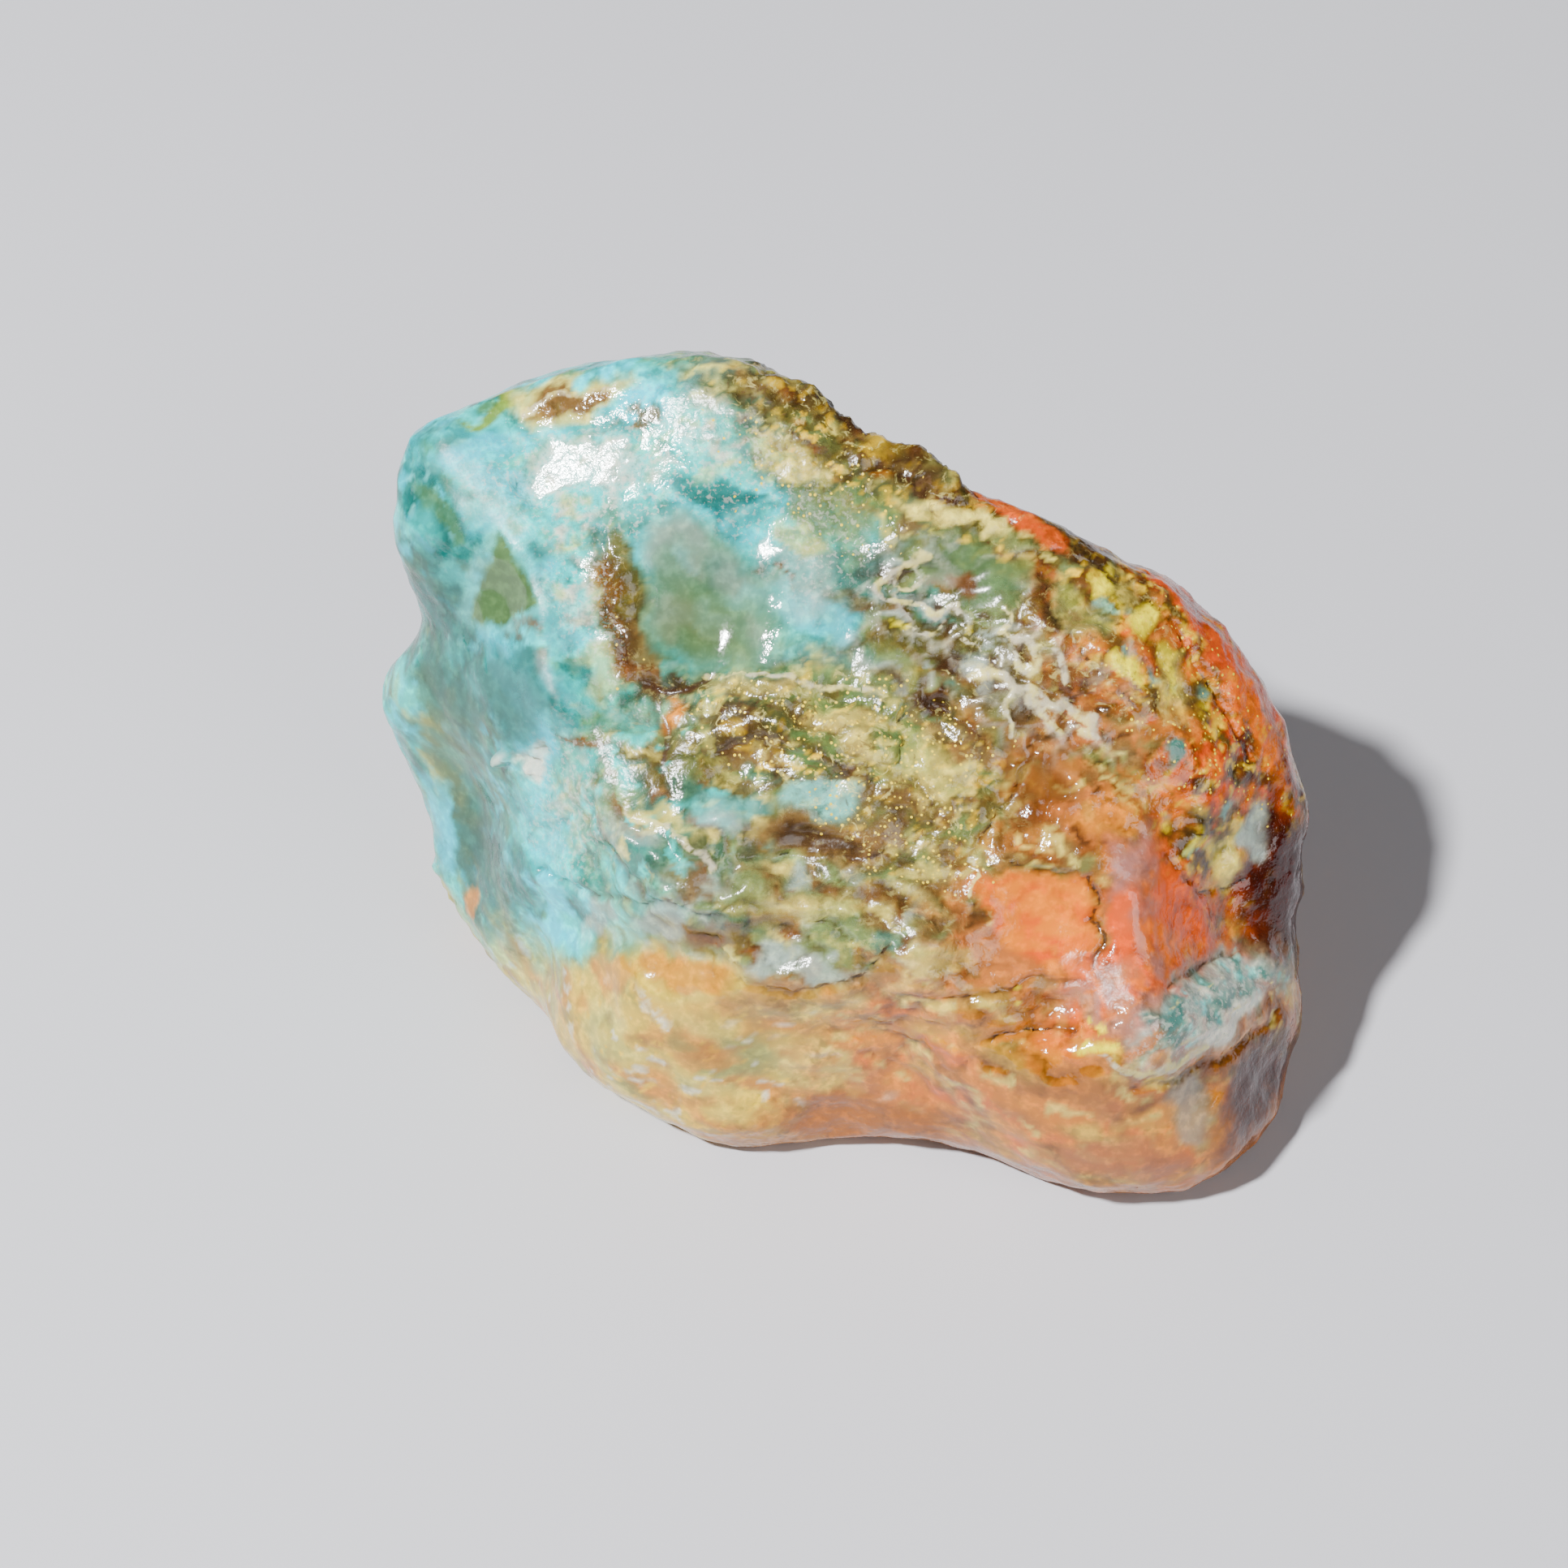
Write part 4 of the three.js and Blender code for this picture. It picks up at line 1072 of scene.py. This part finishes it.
def with_gold_glints(g, colour, place, kinds, colours):
    """Golden grains, painted bright so that they also stand in for tiny glints: one cell in a few is chosen.
    """
    cells = g.node("ShaderNodeTexVoronoi", {"Vector": place, "Scale": FLECKS_PER_MM, "Randomness": 1.0})
    lot = g.node("ShaderNodeSeparateColor", {0: cells.outputs["Color"]}).outputs[0]
    small = g.ramp(cells.outputs["Distance"], 0.34, 0.2)
    chosen = g.maths("GREATER_THAN", g.times(lot, g.plus(kinds["gold"], 0.12)), 0.62)
    return g.mix(g.times(small, chosen), colour, opaque(colours.gold))


def with_lines(g, colour, kinds, textures, colours):
    """Crisp dark cracks, with painted shadow lines under a ledge and a lump among them, and pale ropes."""
    wobble = g.ramp(textures["fine"], 0.3, 0.7, -0.05, 0.05)
    dark_cover = g.ramp(g.plus(kinds["dark"], wobble), 0.8, 0.92)
    pale_cover = g.ramp(g.plus(kinds["pale"], wobble), 0.75, 0.92)
    pale = g.mix(g.ramp(textures["broad"], 0.4, 0.6), opaque(colours.rope), opaque(colours.cream))
    colour = g.mix(g.times(dark_cover, 0.8), colour, opaque(colours.crack))
    return g.mix(g.times(pale_cover, 0.8), colour, pale)


def skin_roughness(g, kinds, textures):
    """Waxy gloss, rougher on crust, dull places and frost."""
    roughness = g.ramp(textures["grain"], 0.3, 0.7, 0.08, 0.17)
    for kind, more in (("crust", 0.08), ("dull", 0.34), ("frost", 0.03)):
        roughness = g.plus(roughness, g.times(kinds[kind], more))
    return roughness


def skin_clearness(g, kinds, textures):
    """How see-through the skin is: most in glassy places, least in crust."""
    clear = g.plus(g.times(kinds["glassy"], 0.3), g.times(kinds["glow"], 0.04))
    clear = g.plus(clear, 0.05)
    clear = g.times(clear, g.ramp(kinds["crust"], 0.0, 1.0, 1.0, 0.25))
    return g.times(clear, g.ramp(textures["fine"], 0.35, 0.7, 1.2, 0.7), clamp=True)


def skin_bumps(g, kinds, textures):
    """The finest bumps, too small for the mesh."""
    bumps = g.plus(g.times(textures["fine"], 0.85), g.times(textures["grain"], 0.12))
    height = g.ramp(kinds["calm"], 0.0, 0.8, ROUGH_BUMP * MM, CALM_BUMP * MM)
    sparkle = g.times(g.times(textures["sugar"], kinds["frost"]), SUGAR_BUMP * MM)
    bumps = g.plus(g.times(bumps, height), sparkle)
    return g.node("ShaderNodeBump", {"Height": bumps, "Strength": 1.0, "Distance": 1.0}).outputs[0]


def amber_material(colours):
    """Waxy see-through resin: painted tint, fine mottling, golden grains and clear windows."""
    material = bpy.data.materials.new("amber_skin")
    material.use_nodes = True
    tree = material.node_tree
    tree.nodes.clear()
    g = Graph(tree)

    place = g.node("ShaderNodeTexCoord").outputs["Object"]
    place = g.node("ShaderNodeMapping", {"Vector": place, "Scale": (1 / MM,) * 3}).outputs[0]
    kinds = {name: g.attribute(name) for name in KINDS}
    textures = {name: g.noise(place, *shape) for name, shape in TEXTURES.items()}

    colour = mottled(g, kinds, textures)
    colour = with_lace(g, colour, kinds, textures, colours)
    colour = with_sugar(g, colour, kinds, textures, colours)
    colour = with_gold_glints(g, colour, place, kinds, colours)
    colour = with_lines(g, colour, kinds, textures, colours)

    skin = g.node("ShaderNodeBsdfPrincipled", {
        "Base Color": colour,
        "Roughness": skin_roughness(g, kinds, textures),
        "Transmission Weight": skin_clearness(g, kinds, textures),
        "Normal": skin_bumps(g, kinds, textures),
        "IOR": AMBER_IOR,
        "Subsurface Weight": 0.25,
        "Subsurface Radius": (1.0, 0.7, 0.5),
        "Subsurface Scale": 0.8 * MM,
    })
    body = g.node("ShaderNodeVolumeAbsorption", {
        "Color": ABSORPTION_COLOUR,
        "Density": ABSORPTION_DENSITY,
    })
    output = g.node("ShaderNodeOutputMaterial")
    tree.links.new(skin.outputs[0], output.inputs["Surface"])
    tree.links.new(body.outputs[0], output.inputs["Volume"])
    return material


# ---------------------------------------------------------------- operators

def fine_mesh(solid, step, smoothing):
    """An even mesh over the solid, fine enough to hold the relief."""
    draft = bpy.data.objects.new("draft", solid.data.copy())
    bpy.context.scene.collection.objects.link(draft)
    remesh = draft.modifiers.new("even", "REMESH")
    remesh.mode = "VOXEL"
    remesh.voxel_size = step
    soften = draft.modifiers.new("soften", "SMOOTH")
    soften.factor = 0.5
    soften.iterations = smoothing
    graph = bpy.context.evaluated_depsgraph_get()
    mesh = bpy.data.meshes.new_from_object(draft.evaluated_get(graph))
    bpy.data.objects.remove(draft)
    return mesh


def store(mesh, name, values, kind="FLOAT"):
    """Keep a value for each point, for the material to read."""
    layer = mesh.attributes.new(name, kind, "POINT")
    layer.data.foreach_set("color" if kind == "FLOAT_COLOR" else "value", values.astype(np.float32).ravel())


class AMBER_OT_nugget(bpy.types.Operator):
    """Build the dressed nugget over its solid."""

    bl_idname = "amber.nugget"
    bl_label = "Build the nugget"

    def execute(self, context):
        settings = context.scene.amber_surface
        colours = context.scene.amber_colours
        mesh = fine_mesh(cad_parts["amber"], settings.mesh_step, settings.smoothing)
        skin = Skin(mesh)
        height, kinds = relief(skin, settings, context.scene.amber_stage)
        tint = paint(skin, colours, kinds)
        # the foot keeps to the solid, so that the stone still sits flat
        height *= smooth_step(*FOOT_FADE, skin.points[:, 2] - LOW.z / MM)
        points = (skin.points + skin.normals * height[:, None]) * MM
        points[:, 2] = np.maximum(points[:, 2], LOW.z)
        mesh.vertices.foreach_set("co", points.astype(np.float32).ravel())
        for name, values in kinds.items():
            store(mesh, name, values)
        store(mesh, "tint", np.column_stack((tint, np.ones(len(tint)))), "FLOAT_COLOR")
        mesh.polygons.foreach_set("use_smooth", np.ones(len(mesh.polygons), bool))
        mesh.update()
        mesh.materials.clear()
        mesh.materials.append(amber_material(colours))
        nugget = bpy.data.objects.new("amber_nugget", mesh)
        context.scene.collection.objects.link(nugget)
        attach(nugget, "root")
        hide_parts("amber")
        return {"FINISHED"}


def aim(thing, target):
    """Turn a lamp or camera towards a point."""
    thing.rotation_euler = (target - thing.location).to_track_quat("-Z", "Y").to_euler()


def area_light(name, direction, distance, size, power):
    """A round soft light, with its distance and size in lengths of the stone."""
    light = bpy.data.lights.new(name, "AREA")
    light.shape = "DISK"
    light.size = size * LENGTH
    light.energy = power
    lamp = bpy.data.objects.new(name, light)
    lamp.location = lamp_place(direction, distance)
    aim(lamp, MIDDLE)
    bpy.context.scene.collection.objects.link(lamp)


class AMBER_OT_stage(bpy.types.Operator):
    """Set the floor, the lights and the camera."""

    bl_idname = "amber.stage"
    bl_label = "Set the stage"

    def execute(self, context):
        settings = context.scene.amber_stage
        self.floor(context, settings)
        area_light("key", KEY_FROM, KEY_DISTANCE, KEY_SIZE, settings.key_power)
        area_light("fill", FILL_FROM, FILL_DISTANCE, FILL_SIZE, settings.fill_power)
        world = bpy.data.worlds.new("studio")
        world.use_nodes = True
        background = world.node_tree.nodes["Background"]
        background.inputs["Color"].default_value = SKY_COLOUR
        background.inputs["Strength"].default_value = settings.sky_strength
        context.scene.world = world
        self.camera(context, settings)
        return {"FINISHED"}

    def floor(self, context, settings):
        half = FLOOR_SIZE / 2 * LENGTH
        height = LOW.z - 0.05 * MM
        corners = [(-half, -half, height), (half, -half, height), (half, half, height), (-half, half, height)]
        mesh = bpy.data.meshes.new("floor")
        mesh.from_pydata(corners, [], [(0, 1, 2, 3)])
        material = bpy.data.materials.new("floor_matt")
        material.use_nodes = True
        g = Graph(material.node_tree)
        surface = material.node_tree.nodes["Principled BSDF"]
        place = g.node("ShaderNodeTexCoord").outputs["Object"]
        drift = g.ramp(g.noise(place, 2 * LENGTH, 3), 0.3, 0.7)
        colour = Vector(settings.floor_colour)
        tint = g.mix(drift, opaque(colour * 0.96), opaque(colour))
        material.node_tree.links.new(tint, surface.inputs["Base Color"])
        surface.inputs["Roughness"].default_value = 0.8
        mesh.materials.append(material)
        floor = bpy.data.objects.new("floor", mesh)
        context.scene.collection.objects.link(floor)

    def camera(self, context, settings):
        lens = bpy.data.cameras.new("camera")
        lens.lens = settings.lens
        lens.sensor_width = 36
        lens.clip_start = 0.005
        camera = bpy.data.objects.new("camera", lens)
        camera.location, target = camera_place(settings)
        aim(camera, target)
        context.scene.collection.objects.link(camera)
        context.scene.camera = camera


class AMBER_PT_panel(bpy.types.Panel):
    """Lists the steps and their settings."""

    bl_idname = "AMBER_PT_panel"
    bl_label = "Rough amber"
    bl_space_type = "VIEW_3D"
    bl_region_type = "UI"
    bl_category = "Amber"

    def draw(self, context):
        for group in ("amber_surface", "amber_colours", "amber_stage"):
            settings = getattr(context.scene, group)
            box = self.layout.box()
            for name in settings.bl_rna.properties.keys():
                if name not in ("rna_type", "name"):
                    box.prop(settings, name)
        self.layout.operator(AMBER_OT_nugget.bl_idname)
        self.layout.operator(AMBER_OT_stage.bl_idname)


CLASSES = (AmberSurface, AmberColours, AmberStage, AMBER_OT_nugget, AMBER_OT_stage, AMBER_PT_panel)


def register():
    for cls in CLASSES:
        bpy.utils.register_class(cls)
    bpy.types.Scene.amber_surface = PointerProperty(type=AmberSurface)
    bpy.types.Scene.amber_colours = PointerProperty(type=AmberColours)
    bpy.types.Scene.amber_stage = PointerProperty(type=AmberStage)


def unregister():
    del bpy.types.Scene.amber_stage
    del bpy.types.Scene.amber_colours
    del bpy.types.Scene.amber_surface
    for cls in reversed(CLASSES):
        bpy.utils.unregister_class(cls)


def main():
    register()
    bpy.ops.amber.nugget()
    bpy.ops.amber.stage()


if __name__ == "__main__":
    main()
